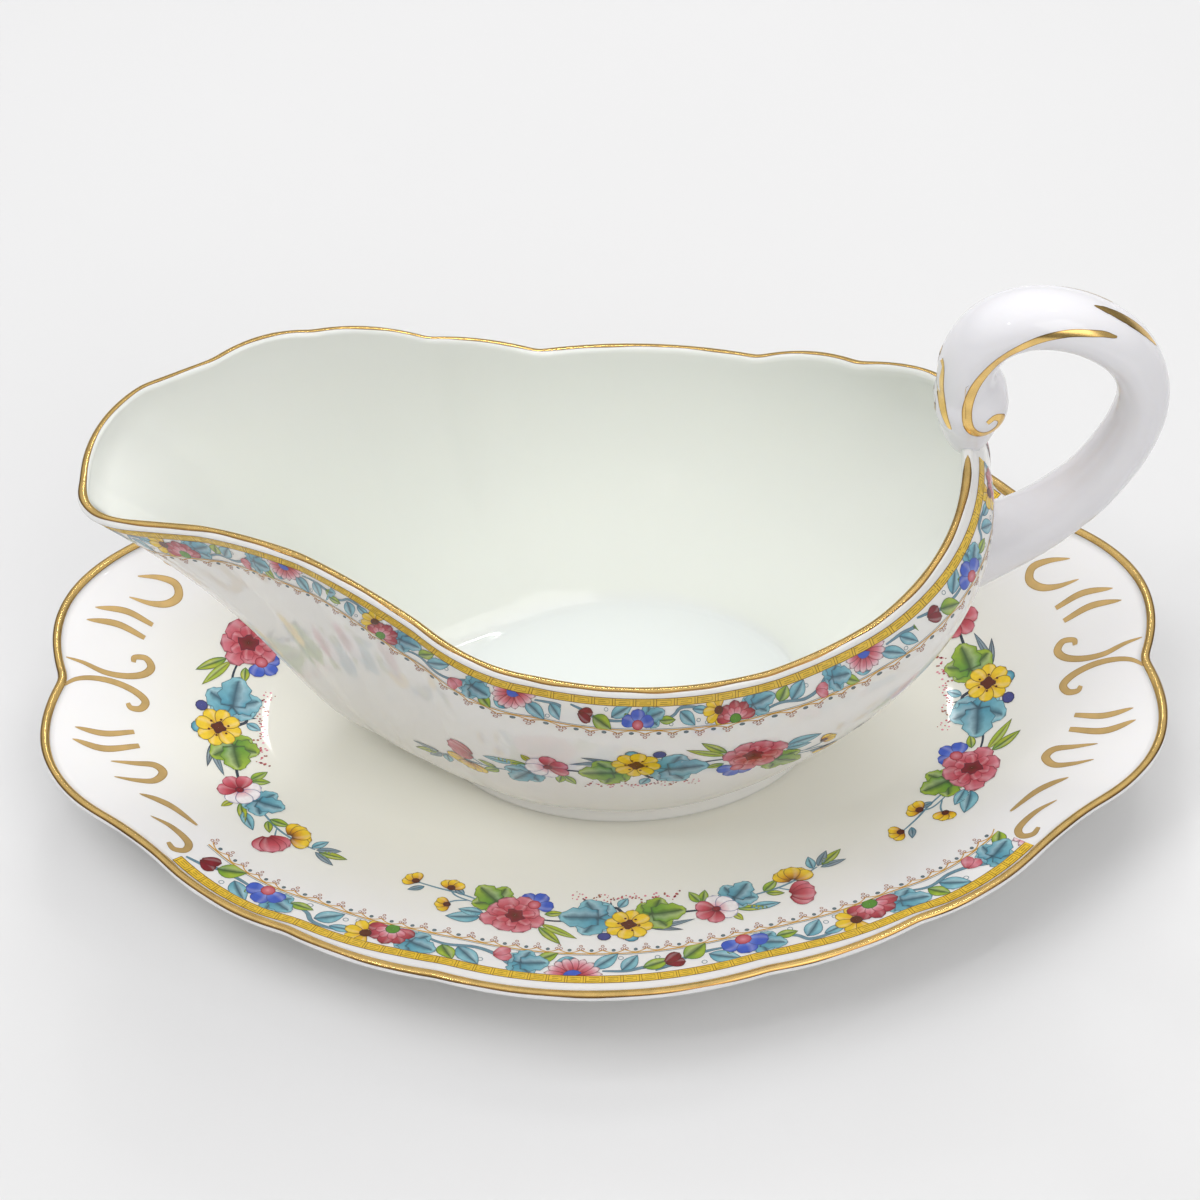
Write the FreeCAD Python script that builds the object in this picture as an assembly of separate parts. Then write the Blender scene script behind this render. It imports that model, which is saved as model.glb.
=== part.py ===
import FreeCAD, Part
import math
import os

# A china gravy boat on its loose lugged stand. Millimetres, +Z up, +X towards the handle.
# Origin: centre of the stand's foot, on the plane that the foot rests on.

# ---- driving dimensions -------------------------------------------------------------------
RING_STEP = 2.3             # spacing of the surface control points round each outline

# Stand. One quarter of the rim line, from the end notch to the middle of the long side:
# joints (x, y) and, for each lobe between two joints, how far it swells outwards.
STAND_JOINTS = [(111.4, 0.0), (100.8, 35.1), (86.5, 47.3), (61.6, 63.9), (32.1, 75.1), (0.0, 80.4)]
STAND_SWELLS = [7.2, -0.6, 1.9, 1.5, 1.4]
STAND_RIM_Z = 22.0          # crest of the rim
STAND_RIM_R = 1.0           # half the rim's thickness
WELL = (69.0, 36.0)         # half axes of the flat well
WELL_Z = 7.0                # top of the well
WELL_THICKNESS = 3.2
STAND_FLARE = [(0.24, 0.0), (0.60, 0.56)]       # handles of the flare's curve: (out, up) fractions
STAND_FOOT = (62.0, 31.0)   # half axes of the foot ring, outside
STAND_FOOT_WIDTH = 3.2

# Bowl. Half of the rim line, from the spout's tip to the handle: joints (x, y, z) and, for
# each lobe between two joints, how far it swells outwards and upwards.
BOWL_JOINTS = [(-98.7, 0.0, 82.5), (-87.8, 17.5, 89.9), (-73.8, 21.7, 92.6), (-54.9, 28.8, 92.7),
               (-33.0, 36.9, 81.8), (-11.5, 42.5, 71.6), (33.0, 41.1, 70.1), (52.9, 33.9, 75.3),
               (71.2, 0.0, 93.6)]
BOWL_SWELLS = [(3.3, -0.2), (0.0, 0.0), (0.7, 1.6), (0.4, 1.6),
               (1.8, -0.5), (3.0, -0.6), (1.3, 0.8), (6.8, 0.9)]
BOWL_RIM_R = 1.15           # half the lip's thickness
BOWL_X = 4.5                # middle of the bowl's foot
BOWL_FOOT = (41.4, 29.1)    # half axes of the foot, where it rests on the well
BOWL_WAIST = (40.9, 28.7)   # half axes above the foot, where the wall starts
BOWL_FOOT_HEIGHT = 4.0
BOWL_FLOOR = (36.0, 24.2)   # half axes of the flat floor inside
BOWL_FLOOR_Z = 14.0
BOWL_RECESS = (37.2, 24.9)  # half axes of the hollow under the foot
BOWL_RECESS_HEIGHT = 3.6
# Handles of the wall's curve from waist to rim: (out, up) fractions at the side, spout and end.
WALL_SIDE = [(0.40, 0.12), (1.00, 0.42)]
WALL_SPOUT = [(0.50, 0.0), (0.31, 0.43)]
WALL_END = [(0.12, 0.34), (1.68, 0.64)]
WALL_END_INSIDE = [(0.16, 0.31), (1.66, 0.65)]
SPOUT_BLEND = 2.4           # how late the side's curve turns into the spout's
END_BLEND = 2.2             # how late it turns into the end's

# Handle. Stations along its middle line, from inside the wall, round the loop, to the scroll:
# (x, z, half thickness in the plane of the loop, half width across it).
HANDLE_LINE = [(54.0, 50.4, 8.4, 8.0), (63.0, 52.8, 8.6, 8.3), (71.5, 56.4, 8.4, 8.3),
               (77.8, 59.8, 7.5, 7.7), (84.0, 63.6, 6.6, 7.0), (90.2, 69.2, 5.8, 6.9), (96.8, 77.5, 5.3, 6.8),
               (102.6, 90.0, 5.1, 6.8), (104.4, 101.6, 5.0, 6.8), (100.9, 112.4, 5.0, 6.8),
               (92.6, 119.7, 5.0, 6.8), (83.0, 122.0, 5.1, 6.8), (75.3, 118.9, 5.3, 6.8),
               (71.3, 111.6, 5.5, 6.9), (70.9, 102.5, 5.6, 7.0)]
HANDLE_STATIONS_PER_SPAN = 4
HANDLE_POINTS_ROUND = 24
SCROLL = (72.0, 101.0)      # x, z of the middle of the scroll that ends the handle
SCROLL_R = 7.1
SCROLL_HALF_WIDTH = 7.7
# The neck under the scroll that stands on the rim: (z, half length in x, half width in y).
NECK = [(87.6, 2.4, 3.0), (90.2, 4.1, 4.4), (93.4, 5.3, 5.6), (96.6, 6.1, 6.6), (100.0, 6.4, 7.0)]
NECK_X = 71.8

BOWL_Z = WELL_Z             # the bowl's foot stands on the well
WALL_Z = BOWL_Z + BOWL_FOOT_HEIGHT


# ---- helpers ------------------------------------------------------------------------------
def bezier(handles, t):
    """Point (out, up) on a cubic from (0, 0) to (1, 1) with the two given handles."""
    (out_a, up_a), (out_b, up_b) = handles
    first = 3 * t * (1 - t) ** 2
    second = 3 * t * t * (1 - t)
    last = t ** 3
    return first * out_a + second * out_b + last, first * up_a + second * up_b + last


def mix(a, b, share):
    """Handles part of the way from a to b."""
    return [tuple(p + (q - p) * share for p, q in zip(u, v)) for u, v in zip(a, b)]


def lobe(start, end, outward, upward, turn):
    """Points of one lobe of a rim line, without its last joint; turn is 1 or -1 for the way
    round. The lobe is a parabola that leaves the straight line by outward and upward."""
    run = [b - a for a, b in zip(start, end)]
    length = math.hypot(run[0], run[1])
    normal = (-run[1] / length * turn, run[0] / length * turn)
    count = max(4, round(length / RING_STEP))
    points = []
    for i in range(count):
        t = i / count
        swell = 4 * t * (1 - t)
        points.append((start[0] + run[0] * t + normal[0] * outward * swell,
                       start[1] + run[1] * t + normal[1] * outward * swell,
                       start[2] + run[2] * t + upward * swell))
    return points


def stand_rim():
    """The stand's closed rim line, counter-clockwise from the +X end."""
    quarter = []
    joints = [(x, y, STAND_RIM_Z) for x, y in STAND_JOINTS]
    for start, end, swell in zip(joints, joints[1:], STAND_SWELLS):
        quarter += lobe(start, end, swell, 0.0, -1)
    side = [joints[-1]]
    half = quarter + side + [(-x, y, z) for x, y, z in reversed(quarter)]
    return half + [(x, -y, z) for x, y, z in reversed(half[1:-1])]


def bowl_rim():
    """The bowl's closed rim line, clockwise from the spout's tip."""
    half = []
    for start, end, (outward, upward) in zip(BOWL_JOINTS, BOWL_JOINTS[1:], BOWL_SWELLS):
        half += lobe(start, end, outward, upward, 1)
    half.append(BOWL_JOINTS[-1])
    return half + [(x, -y, z) for x, y, z in reversed(half[1:-1])]


def outward_normals(line):
    """Unit normals in plan, pointing away from the middle of a closed line."""
    normals = []
    for i, (x, y, _) in enumerate(line):
        before = line[i - 1]
        after = line[(i + 1) % len(line)]
        nx = after[1] - before[1]
        ny = before[0] - after[0]
        length = math.hypot(nx, ny)
        side = 1 if nx * x + ny * y > 0 else -1
        normals.append((side * nx / length, side * ny / length))
    return normals


def shifted(line, normals, outward, upward):
    """A rim line moved along its plan normals and up."""
    return [(x + nx * outward, y + ny * outward, z + upward)
            for (x, y, z), (nx, ny) in zip(line, normals)]


def bead(line, normals, radius, first, last, steps):
    """Rings round the rounded edge of a rim whose crest is the line, between two angles
    measured from straight outwards, over the top, to straight inwards."""
    rings = []
    for i in range(steps + 1):
        angle = math.radians(first + (last - first) * i / steps)
        rings.append(shifted(line, normals, radius * math.cos(angle), radius * math.sin(angle) - radius))
    return rings


def closed_surface_solid(rings):
    """Solid inside a smooth surface whose control points are the rings, with flat ends."""
    poles = [[FreeCAD.Vector(*point) for point in ring] for ring in rings]
    around = len(rings[0])
    spans = len(rings) - 3
    surface = Part.BSplineSurface()
    surface.buildFromPolesMultsKnots(
        poles, [4] + [1] * (spans - 1) + [4], [1] * (around + 1),
        list(range(spans + 1)), list(range(around + 1)), False, True, 3, 3)
    skin = surface.toShape()
    faces = [skin]
    for ring in (rings[0], rings[-1]):
        level = sum(point[2] for point in ring) / around
        edge = min(skin.Edges, key=lambda e: ring_distance(e, ring, level))
        faces.append(Part.Face(Part.Wire([edge])))
    shell = Part.Shell(faces)
    shell.sewShape()
    solid = Part.Solid(shell)
    if solid.Volume < 0:
        solid.reverse()
    return solid


def ring_distance(edge, ring, level):
    """How far an edge's middle is from the middle of a ring."""
    middle = edge.BoundBox.Center
    x = sum(point[0] for point in ring) / len(ring)
    y = sum(point[1] for point in ring) / len(ring)
    closed = 0 if edge.isClosed() else 1000
    return math.dist((middle.x, middle.y, middle.z), (x, y, level)) + closed


def ellipse_prism(centre_x, half_axes, low, high):
    """Upright prism on an ellipse."""
    ellipse = Part.Ellipse(FreeCAD.Vector(centre_x, 0, low), half_axes[0], half_axes[1])
    face = Part.Face(Part.Wire([ellipse.toShape()]))
    return face.extrude(FreeCAD.Vector(0, 0, high - low))


# ---- stand --------------------------------------------------------------------------------
def stand_slope(rim, well, level, handles, drop, fractions):
    """Rings of the flare between the well's edge and the rim line, at the given fractions."""
    rings = []
    for t in fractions:
        out, up = bezier(handles, t)
        ring = []
        for x, y, z in rim:
            angle = math.atan2(y / STAND_JOINTS[-1][1], x / STAND_JOINTS[0][0])
            ex = well[0] * math.cos(angle)
            ey = well[1] * math.sin(angle)
            ring.append((ex + (x - ex) * out, ey + (y - ey) * out, level + (z - drop - level) * up))
        rings.append(ring)
    return rings


def make_stand():
    rim = stand_rim()
    normals = outward_normals(rim)
    steps = [i / 12 for i in range(13)]
    inner = shifted(rim, normals, -STAND_RIM_R, 0)
    under = WELL_Z - WELL_THICKNESS
    top = stand_slope(inner, WELL, WELL_Z, STAND_FLARE, STAND_RIM_R, steps)
    edge = bead(rim, normals, STAND_RIM_R, 150, -30, 5)
    back = stand_slope(rim, WELL, under, STAND_FLARE, 2 * STAND_RIM_R + 0.3, [t * 0.965 for t in steps])
    body = closed_surface_solid(top + edge + back[::-1])
    ring = ellipse_prism(0, STAND_FOOT, 0, under + 0.4)
    hollow_axes = [a - STAND_FOOT_WIDTH for a in STAND_FOOT]
    ring = ring.cut(ellipse_prism(0, hollow_axes, -1, under + 1))
    return body.fuse(ring)


# ---- bowl ---------------------------------------------------------------------------------
def wall_rings(rim, base, level, end_handles, fractions):
    """Rings of the bowl's wall between the ellipse at its base and the rim line."""
    rings = []
    for t in fractions:
        ring = []
        for x, y, z in rim:
            angle = math.atan2(y / BOWL_FOOT[1], (x - BOWL_X) / BOWL_FOOT[0])
            along = math.cos(angle)
            if along < 0:
                handles = mix(WALL_SIDE, WALL_SPOUT, abs(along) ** SPOUT_BLEND)
            else:
                handles = mix(WALL_SIDE, end_handles, along ** END_BLEND)
            out, up = bezier(handles, t)
            bx = BOWL_X + base[0] * along
            by = base[1] * math.sin(angle)
            ring.append((bx + (x - bx) * out, by + (y - by) * out, level + (z - level) * up))
        rings.append(ring)
    return rings


def foot_ring(rim, half_axes, level):
    """One elliptical ring of the foot, with its points on the rays of the wall's rings."""
    return [(x, y, level) for x, y, _ in wall_rings(rim, half_axes, level, WALL_END, [0])[0]]


def make_bowl():
    rim = bowl_rim()
    normals = outward_normals(rim)
    steps = [(i / 18) ** 1.15 for i in range(19)]
    low_lip = -BOWL_RIM_R
    outer = wall_rings(shifted(rim, normals, BOWL_RIM_R, low_lip), BOWL_WAIST, WALL_Z, WALL_END, steps)
    lip = bead(rim, normals, BOWL_RIM_R, 30, 150, 4)
    inner = wall_rings(shifted(rim, normals, -BOWL_RIM_R, low_lip), BOWL_FLOOR, BOWL_FLOOR_Z,
                       WALL_END_INSIDE, steps)
    middle = [(a + b) / 2 - 0.3 for a, b in zip(BOWL_FOOT, BOWL_WAIST)]
    foot = [foot_ring(rim, BOWL_FOOT, BOWL_Z),
            foot_ring(rim, BOWL_FOOT, BOWL_Z + 0.8),
            foot_ring(rim, middle, BOWL_Z + 2.2)]
    body = closed_surface_solid(foot + outer + lip + inner[::-1])
    recess = ellipse_prism(BOWL_X, BOWL_RECESS, BOWL_Z - 1, BOWL_Z + BOWL_RECESS_HEIGHT)
    return body.cut(recess)


# ---- handle -------------------------------------------------------------------------------
def spline_stations(points, per_span):
    """Points on a smooth curve through the given points (Catmull-Rom)."""
    padded = [points[0]] + points + [points[-1]]
    stations = []
    for a, b, c, d in zip(padded, padded[1:], padded[2:], padded[3:]):
        for i in range(per_span):
            t = i / per_span
            stations.append(tuple(
                0.5 * (2 * q + (r - p) * t + (2 * p - 5 * q + 4 * r - s) * t * t
                       + (3 * q - p - 3 * r + s) * t ** 3)
                for p, q, r, s in zip(a, b, c, d)))
    stations.append(points[-1])
    return stations


def handle_loop():
    """The strap of the handle: an oval section carried along the middle line."""
    stations = spline_stations(HANDLE_LINE, HANDLE_STATIONS_PER_SPAN)
    rings = []
    for i, (x, z, half_thick, half_wide) in enumerate(stations):
        before = stations[max(i - 1, 0)]
        after = stations[min(i + 1, len(stations) - 1)]
        length = math.hypot(after[0] - before[0], after[1] - before[1])
        nx = -(after[1] - before[1]) / length
        nz = (after[0] - before[0]) / length
        ring = []
        for k in range(HANDLE_POINTS_ROUND):
            angle = 2 * math.pi * k / HANDLE_POINTS_ROUND
            off = half_thick * math.cos(angle)
            ring.append((x + nx * off, half_wide * math.sin(angle), z + nz * off))
        rings.append(ring)
    return closed_surface_solid(rings)


def handle_scroll():
    """The round scroll at the handle's end: a thick disc with well rounded edges."""
    rings = []
    levels = [-1, -0.995, -0.93, -0.75, -0.45, 0, 0.45, 0.75, 0.93, 0.995, 1]
    for level in levels:
        radius = max(SCROLL_R * (1 - abs(level) ** 3) ** 0.5, 1.6)
        ring = []
        for k in range(HANDLE_POINTS_ROUND):
            angle = 2 * math.pi * k / HANDLE_POINTS_ROUND
            ring.append((SCROLL[0] + radius * math.cos(angle), SCROLL_HALF_WIDTH * level,
                         SCROLL[1] + radius * math.sin(angle)))
        rings.append(ring)
    return closed_surface_solid(rings)


def handle_neck():
    """The short neck between the rim and the scroll."""
    rings = []
    for z, half_long, half_wide in NECK:
        ring = []
        for k in range(HANDLE_POINTS_ROUND):
            angle = 2 * math.pi * k / HANDLE_POINTS_ROUND
            ring.append((NECK_X + half_long * math.cos(angle), half_wide * math.sin(angle), z))
        rings.append(ring)
    return closed_surface_solid(rings)


def make_handle(bowl):
    """The handle, cut where it meets the bowl's wall and rim."""
    whole = handle_loop().fuse([handle_scroll(), handle_neck()])
    pieces = whole.cut(bowl).Solids
    return max(pieces, key=lambda piece: piece.Volume)


def main():
    os.makedirs("parts", exist_ok=True)
    bowl = make_bowl()
    nodes = {"stand_dish": make_stand(), "boat_bowl": bowl, "boat_handle": make_handle(bowl)}
    for name, shape in nodes.items():
        shape.exportStep("parts/" + name + ".step")
        box = shape.BoundBox
        print(name, "valid", shape.isValid(), "solids", len(shape.Solids),
              "volume cm3", round(shape.Volume / 1000, 2),
              "x", round(box.XMin, 1), round(box.XMax, 1), "y", round(box.YMin, 1), round(box.YMax, 1),
              "z", round(box.ZMin, 1), round(box.ZMax, 1))


main()
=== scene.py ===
import math
import random

import bpy
import numpy as np
from mathutils import Matrix, Vector
from mathutils.bvhtree import BVHTree
from mathutils.interpolate import poly_3d_calc


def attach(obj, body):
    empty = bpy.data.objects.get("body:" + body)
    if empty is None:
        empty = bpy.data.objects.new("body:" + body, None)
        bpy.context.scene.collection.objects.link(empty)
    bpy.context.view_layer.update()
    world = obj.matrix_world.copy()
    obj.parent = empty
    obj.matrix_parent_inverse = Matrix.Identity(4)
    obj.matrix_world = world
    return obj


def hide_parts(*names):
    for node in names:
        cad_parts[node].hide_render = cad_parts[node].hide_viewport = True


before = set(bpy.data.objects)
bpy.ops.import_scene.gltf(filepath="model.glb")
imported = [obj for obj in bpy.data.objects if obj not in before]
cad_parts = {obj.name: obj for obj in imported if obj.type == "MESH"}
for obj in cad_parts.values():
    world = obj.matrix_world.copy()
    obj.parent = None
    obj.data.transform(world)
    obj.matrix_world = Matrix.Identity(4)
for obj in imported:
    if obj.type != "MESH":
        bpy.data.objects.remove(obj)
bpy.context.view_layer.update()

# A china gravy boat on its loose lugged stand: the two china bodies and the handle as smooth glazed
# meshes on the frame's shapes, with gilding and printed enamel laid on them as thin coatings.
# All sizes in this script are millimetres in the frame's own axes, until a mesh is made.
MM = 0.001

# ---- shapes, as in the frame ----------------------------------------------------------------
CONTROL_STEP = 2.3          # spacing of the control points round each rim line
RIM_DETAIL = 3              # mesh columns for each control point

STAND_JOINTS = [(111.4, 0.0), (100.8, 35.1), (86.5, 47.3), (61.6, 63.9), (32.1, 75.1), (0.0, 80.4)]
STAND_SWELLS = [7.2, -0.6, 1.9, 1.5, 1.4]
STAND_RIM_Z = 22.0
STAND_RIM_R = 1.0
WELL = (69.0, 36.0)
WELL_Z = 7.0
UNDER_Z = 3.8
STAND_FLARE = [(0.24, 0.0), (0.60, 0.56)]
STAND_BACK_DROP = 2.3       # how far the back of the flare is below the rim's crest
# Underside, from the back of the flare to the middle: half axes and height of each ring.
STAND_UNDERSIDE = [(66.0, 33.6, 3.8), (63.2, 32.1, 3.7), (62.3, 31.3, 3.2), (62.0, 31.0, 2.2),
                   (61.9, 30.9, 0.6), (61.4, 30.4, 0.1), (60.4, 29.4, 0.0), (59.4, 28.4, 0.1),
                   (58.9, 27.9, 0.6), (58.8, 27.8, 2.6), (58.3, 27.3, 3.5), (57.2, 26.2, 3.8)]

BOWL_JOINTS = [(-98.7, 0.0, 82.5), (-87.8, 17.5, 89.9), (-73.8, 21.7, 92.6), (-54.9, 28.8, 92.7),
               (-33.0, 36.9, 81.8), (-11.5, 42.5, 71.6), (33.0, 41.1, 70.1), (52.9, 33.9, 75.3),
               (71.2, 0.0, 93.6)]
BOWL_SWELLS = [(3.3, -0.2), (0.0, 0.0), (0.7, 1.6), (0.4, 1.6),
               (1.8, -0.5), (3.0, -0.6), (1.3, 0.8), (6.8, 0.9)]
BOWL_RIM_R = 1.15
BOWL_X = 4.5
BOWL_RAYS = (41.4, 29.1)    # half axes of the foot, which also aim the wall's meridians
BOWL_WAIST = (40.9, 28.7)
WALL_Z = 11.0
BOWL_FLOOR = (36.0, 24.2)
BOWL_FLOOR_Z = 14.0
BOWL_HOLLOW = (36.6, 24.3, 10.6)    # half axes and height of the hollow under the foot
# Edge of that hollow, foot ring and neck, from the middle outwards.
BOWL_FOOT = [(36.7, 24.4, 10.6), (37.1, 24.8, 10.3), (37.2, 24.9, 9.6), (37.4, 25.1, 7.5),
             (37.9, 25.6, 7.05), (39.3, 27.0, 7.0), (40.8, 28.5, 7.05), (41.3, 29.0, 7.4),
             (41.3, 29.0, 8.2), (41.1, 28.8, 9.2), (40.9, 28.7, 10.4)]
# Well inside, from the wall's foot to the middle.
BOWL_WELL = [(35.6, 23.8, 13.85), (35.1, 23.3, 13.6), (34.4, 22.6, 13.5), (24.0, 15.4, 13.5),
             (12.0, 7.7, 13.5)]
WALL_SIDE = [(0.40, 0.12), (1.00, 0.42)]
WALL_SPOUT = [(0.50, 0.0), (0.31, 0.43)]
WALL_END = [(0.12, 0.34), (1.68, 0.64)]
WALL_END_INSIDE = [(0.16, 0.31), (1.66, 0.65)]
SPOUT_BLEND = 2.4
END_BLEND = 2.2
WALL_ROWS = 46

HANDLE_LINE = [(54.0, 50.4, 8.4, 8.0), (63.0, 52.8, 8.6, 8.3), (71.5, 56.4, 8.4, 8.3),
               (77.8, 59.8, 7.5, 7.7), (84.0, 63.6, 6.6, 7.0), (90.2, 69.2, 5.8, 6.9), (96.8, 77.5, 5.3, 6.8),
               (102.6, 90.0, 5.1, 6.8), (104.4, 101.6, 5.0, 6.8), (100.9, 112.4, 5.0, 6.8),
               (92.6, 119.7, 5.0, 6.8), (83.0, 122.0, 5.1, 6.8), (75.3, 118.9, 5.3, 6.8),
               (71.3, 111.6, 5.5, 6.9), (70.9, 102.5, 5.6, 7.0)]
SCROLL = (72.0, 101.0)
SCROLL_R = 7.1
SCROLL_HALF_WIDTH = 7.7
NECK = [(87.6, 2.4, 3.0), (90.2, 4.1, 4.4), (93.4, 5.3, 5.6), (96.6, 6.1, 6.6), (100.0, 6.4, 7.0)]
NECK_X = 71.8
HANDLE_ROOT_TOP = 82.0      # below this height the handle meets the wall and not the lip
HANDLE_ROOT_SINK = 1.3      # depth in the wall, from its inside, at which the handle's root ends

# ---- decoration ------------------------------------------------------------------------------
PRINT_LIFT = 0.035          # height of the lowest enamel above the glaze
LEVEL_LIFT = 0.022          # and of each level of shapes drawn over it
OUTLINE = 0.28              # width of the dark line round a printed shape
# Depth from the rim's crest of the key band's two edges, the line and the fringe's end.
STAND_BANDS = {"key": (4.7, 7.0), "line": 14.4, "fringe": 17.8}
BOAT_BANDS = {"key": (2.2, 4.5), "line": 12.2, "fringe": 15.4}
KEY_PITCH = 3.8             # length of one cell of the key band
EDGE_DRIFT = 2.2            # how much nearer the rim the stand's border lies towards its ends
LIP_SINK = 2.0              # how much lower the boat's border lies at its end by the handle
LIP_SINK_FROM = 160.0
RIM_GOLD_GAP = 5.2          # the lip's gold ends so far to each side of the handle
FOOT_LINE = (41.3, 29.1)    # half axes of the gold line round the boat's foot
UNIT = 105.0                # length of the border's repeat on the stand
STAND_REACH = (-94.5, 94.5) # the stand's border starts and ends here, from a long side's middle
BOAT_UNIT = 66.4            # length of the border's repeat on the boat
BOAT_REACH = (10.0, 216.0)  # the boat's border starts and ends here, from the spout's tip
# Repeats: where each starts, and the first and last place where it is drawn.
STAND_RUNS = [(-90.0, -94.5, 15.0), (15.0, 11.0, 94.5)]
BOAT_RUNS = [(3.8, 10.0, 67.0), (53.5, 67.0, 115.0), (119.2, 115.0, 182.0), (185.6, 182.0, 216.0)]


def srgb(code):
    """Linear colour for a six-figure hexadecimal sRGB code."""
    channels = [int(code[i:i + 2], 16) / 255 for i in (0, 2, 4)]
    return tuple(c / 12.92 if c <= 0.04045 else ((c + 0.055) / 1.055) ** 2.4 for c in channels)


INK = srgb("3A3038")
STEM_DARK = srgb("39424E")
STEM_BLUE = srgb("6F93A3")
KEY_YELLOW = srgb("EBC344")
KEY_BROWN = srgb("8E6A1A")
OCHRE = srgb("D2A24A")
FRINGE_BROWN = srgb("A9705C")
FRINGE_DOT = srgb("6E8288")
WHITE = srgb("F4EEF0")
PINK = srgb("DC8C9A")
ROSE = srgb("C4505C")
MAROON = srgb("86222E")
BROWN = srgb("5E2A14")
YELLOW = srgb("F0CB2E")
AMBER = srgb("D99A18")
COBALT = srgb("3F5DC4")
COBALT_LIGHT = srgb("7F97E4")
TEAL = srgb("4E96AE")
TEAL_LIGHT = srgb("8CC3CF")
GREY_LEAF = srgb("8296A0")
GREEN = srgb("5A9234")
GREEN_LIGHT = srgb("A4BC3E")
LIME = srgb("B4BE3A")
INDIGO = srgb("4A4E8C")
GOLD = srgb("F2CC80")
# Dark brown for the gold's edges: painted shade, standing in for the dark room that the gold reflects along
# its outer side.
GOLD_PAINTED_SHADE = srgb("865A22")
MATT_GOLD = srgb("D8B678")
MATT_GOLD_EDGE = srgb("AE8846")


# ---- lines and rings -------------------------------------------------------------------------
def lobe(start, end, outward, upward, turn):
    """Points of one lobe of a rim line, a parabola off the straight run, without its last joint."""
    run = [b - a for a, b in zip(start, end)]
    length = math.hypot(run[0], run[1])
    normal = (-run[1] / length * turn, run[0] / length * turn)
    count = max(4, round(length / CONTROL_STEP))
    points = []
    for i in range(count):
        t = i / count
        swell = 4 * t * (1 - t)
        points.append((start[0] + run[0] * t + normal[0] * outward * swell,
                       start[1] + run[1] * t + normal[1] * outward * swell,
                       start[2] + run[2] * t + upward * swell))
    return points


def closed_spline(control, detail):
    """Dense points on the closed cubic B-spline of a ring of control points."""
    p = np.asarray(control, float)
    rows = []
    for i in range(detail):
        t = i / detail
        weights = ((1 - t) ** 3, 3 * t ** 3 - 6 * t ** 2 + 4, -3 * t ** 3 + 3 * t ** 2 + 3 * t + 1, t ** 3)
        rows.append(sum(w * np.roll(p, shift, 0) for w, shift in zip(weights, (1, 0, -1, -2))) / 6)
    return np.stack(rows, 1).reshape(-1, 3)


def open_spline(points, per_span):
    """Points on a smooth curve through the given points (Catmull-Rom)."""
    p = np.asarray(points, float)
    padded = np.vstack([2 * p[0] - p[1], p, 2 * p[-1] - p[-2]])
    rows = []
    for a, b, c, d in zip(padded, padded[1:], padded[2:], padded[3:]):
        for i in range(per_span):
            t = i / per_span
            rows.append(0.5 * (2 * b + (c - a) * t + (2 * a - 5 * b + 4 * c - d) * t * t
                               + (3 * b - a - 3 * c + d) * t ** 3))
    rows.append(p[-1])
    return np.array(rows)


def stand_rim():
    """The stand's rim line, counter-clockwise from the +X end."""
    quarter = []
    joints = [(x, y, STAND_RIM_Z) for x, y in STAND_JOINTS]
    for start, end, swell in zip(joints, joints[1:], STAND_SWELLS):
        quarter += lobe(start, end, swell, 0.0, -1)
    half = quarter + [joints[-1]] + [(-x, y, z) for x, y, z in reversed(quarter)]
    return closed_spline(half + [(x, -y, z) for x, y, z in reversed(half[1:-1])], RIM_DETAIL)


def bowl_rim():
    """The bowl's rim line, clockwise from the spout's tip: first the far side, then the near one."""
    half = []
    for start, end, (outward, upward) in zip(BOWL_JOINTS, BOWL_JOINTS[1:], BOWL_SWELLS):
        half += lobe(start, end, outward, upward, 1)
    half.append(BOWL_JOINTS[-1])
    return closed_spline(half + [(x, -y, z) for x, y, z in reversed(half[1:-1])], RIM_DETAIL)


def plan_normals(line):
    """Level unit normals that point away from the middle of a closed line."""
    run = np.roll(line, -1, 0) - np.roll(line, 1, 0)
    normals = np.stack([run[:, 1], -run[:, 0], 0 * run[:, 0]], 1)
    normals /= np.linalg.norm(normals, axis=1)[:, None]
    side = np.sign((normals * line).sum(1) - normals[:, 2] * line[:, 2])
    return normals * side[:, None]


def bezier(handles, t):
    """(out, up) on each column's cubic from (0, 0) to (1, 1); handles is (columns, 2, 2)."""
    first = 3 * t * (1 - t) ** 2
    second = 3 * t * t * (1 - t)
    both = first * handles[:, 0] + second * handles[:, 1] + t ** 3
    return both[:, 0], both[:, 1]


def bead_ring(line, normals, radius, degrees):
    """One ring of a rounded rim: 0 degrees is straight outwards and 90 the crest."""
    angle = math.radians(degrees)
    return line + normals * radius * math.cos(angle) + [0, 0, radius * math.sin(angle) - radius]


def slope_ring(rim, level, drop, t):
    """One ring of the stand's flare between the well's edge and the rim line."""
    out, up = bezier(np.array([STAND_FLARE]), t)
    angle = stand_angles(rim)
    base = np.stack([WELL[0] * np.cos(angle), WELL[1] * np.sin(angle), 0 * angle + level], 1)
    across = base + (rim - base) * out[:, None]
    across[:, 2] = level + (rim[:, 2] - drop - level) * up
    return across


def stand_angles(rim):
    """The direction of each of the stand's columns, as its ellipses measure it."""
    return np.arctan2(rim[:, 1] / STAND_JOINTS[-1][1], rim[:, 0] / STAND_JOINTS[0][0])


def bowl_angles(rim):
    """The direction of each of the bowl's columns from the middle of its foot."""
    return np.arctan2(rim[:, 1] / BOWL_RAYS[1], (rim[:, 0] - BOWL_X) / BOWL_RAYS[0])


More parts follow.
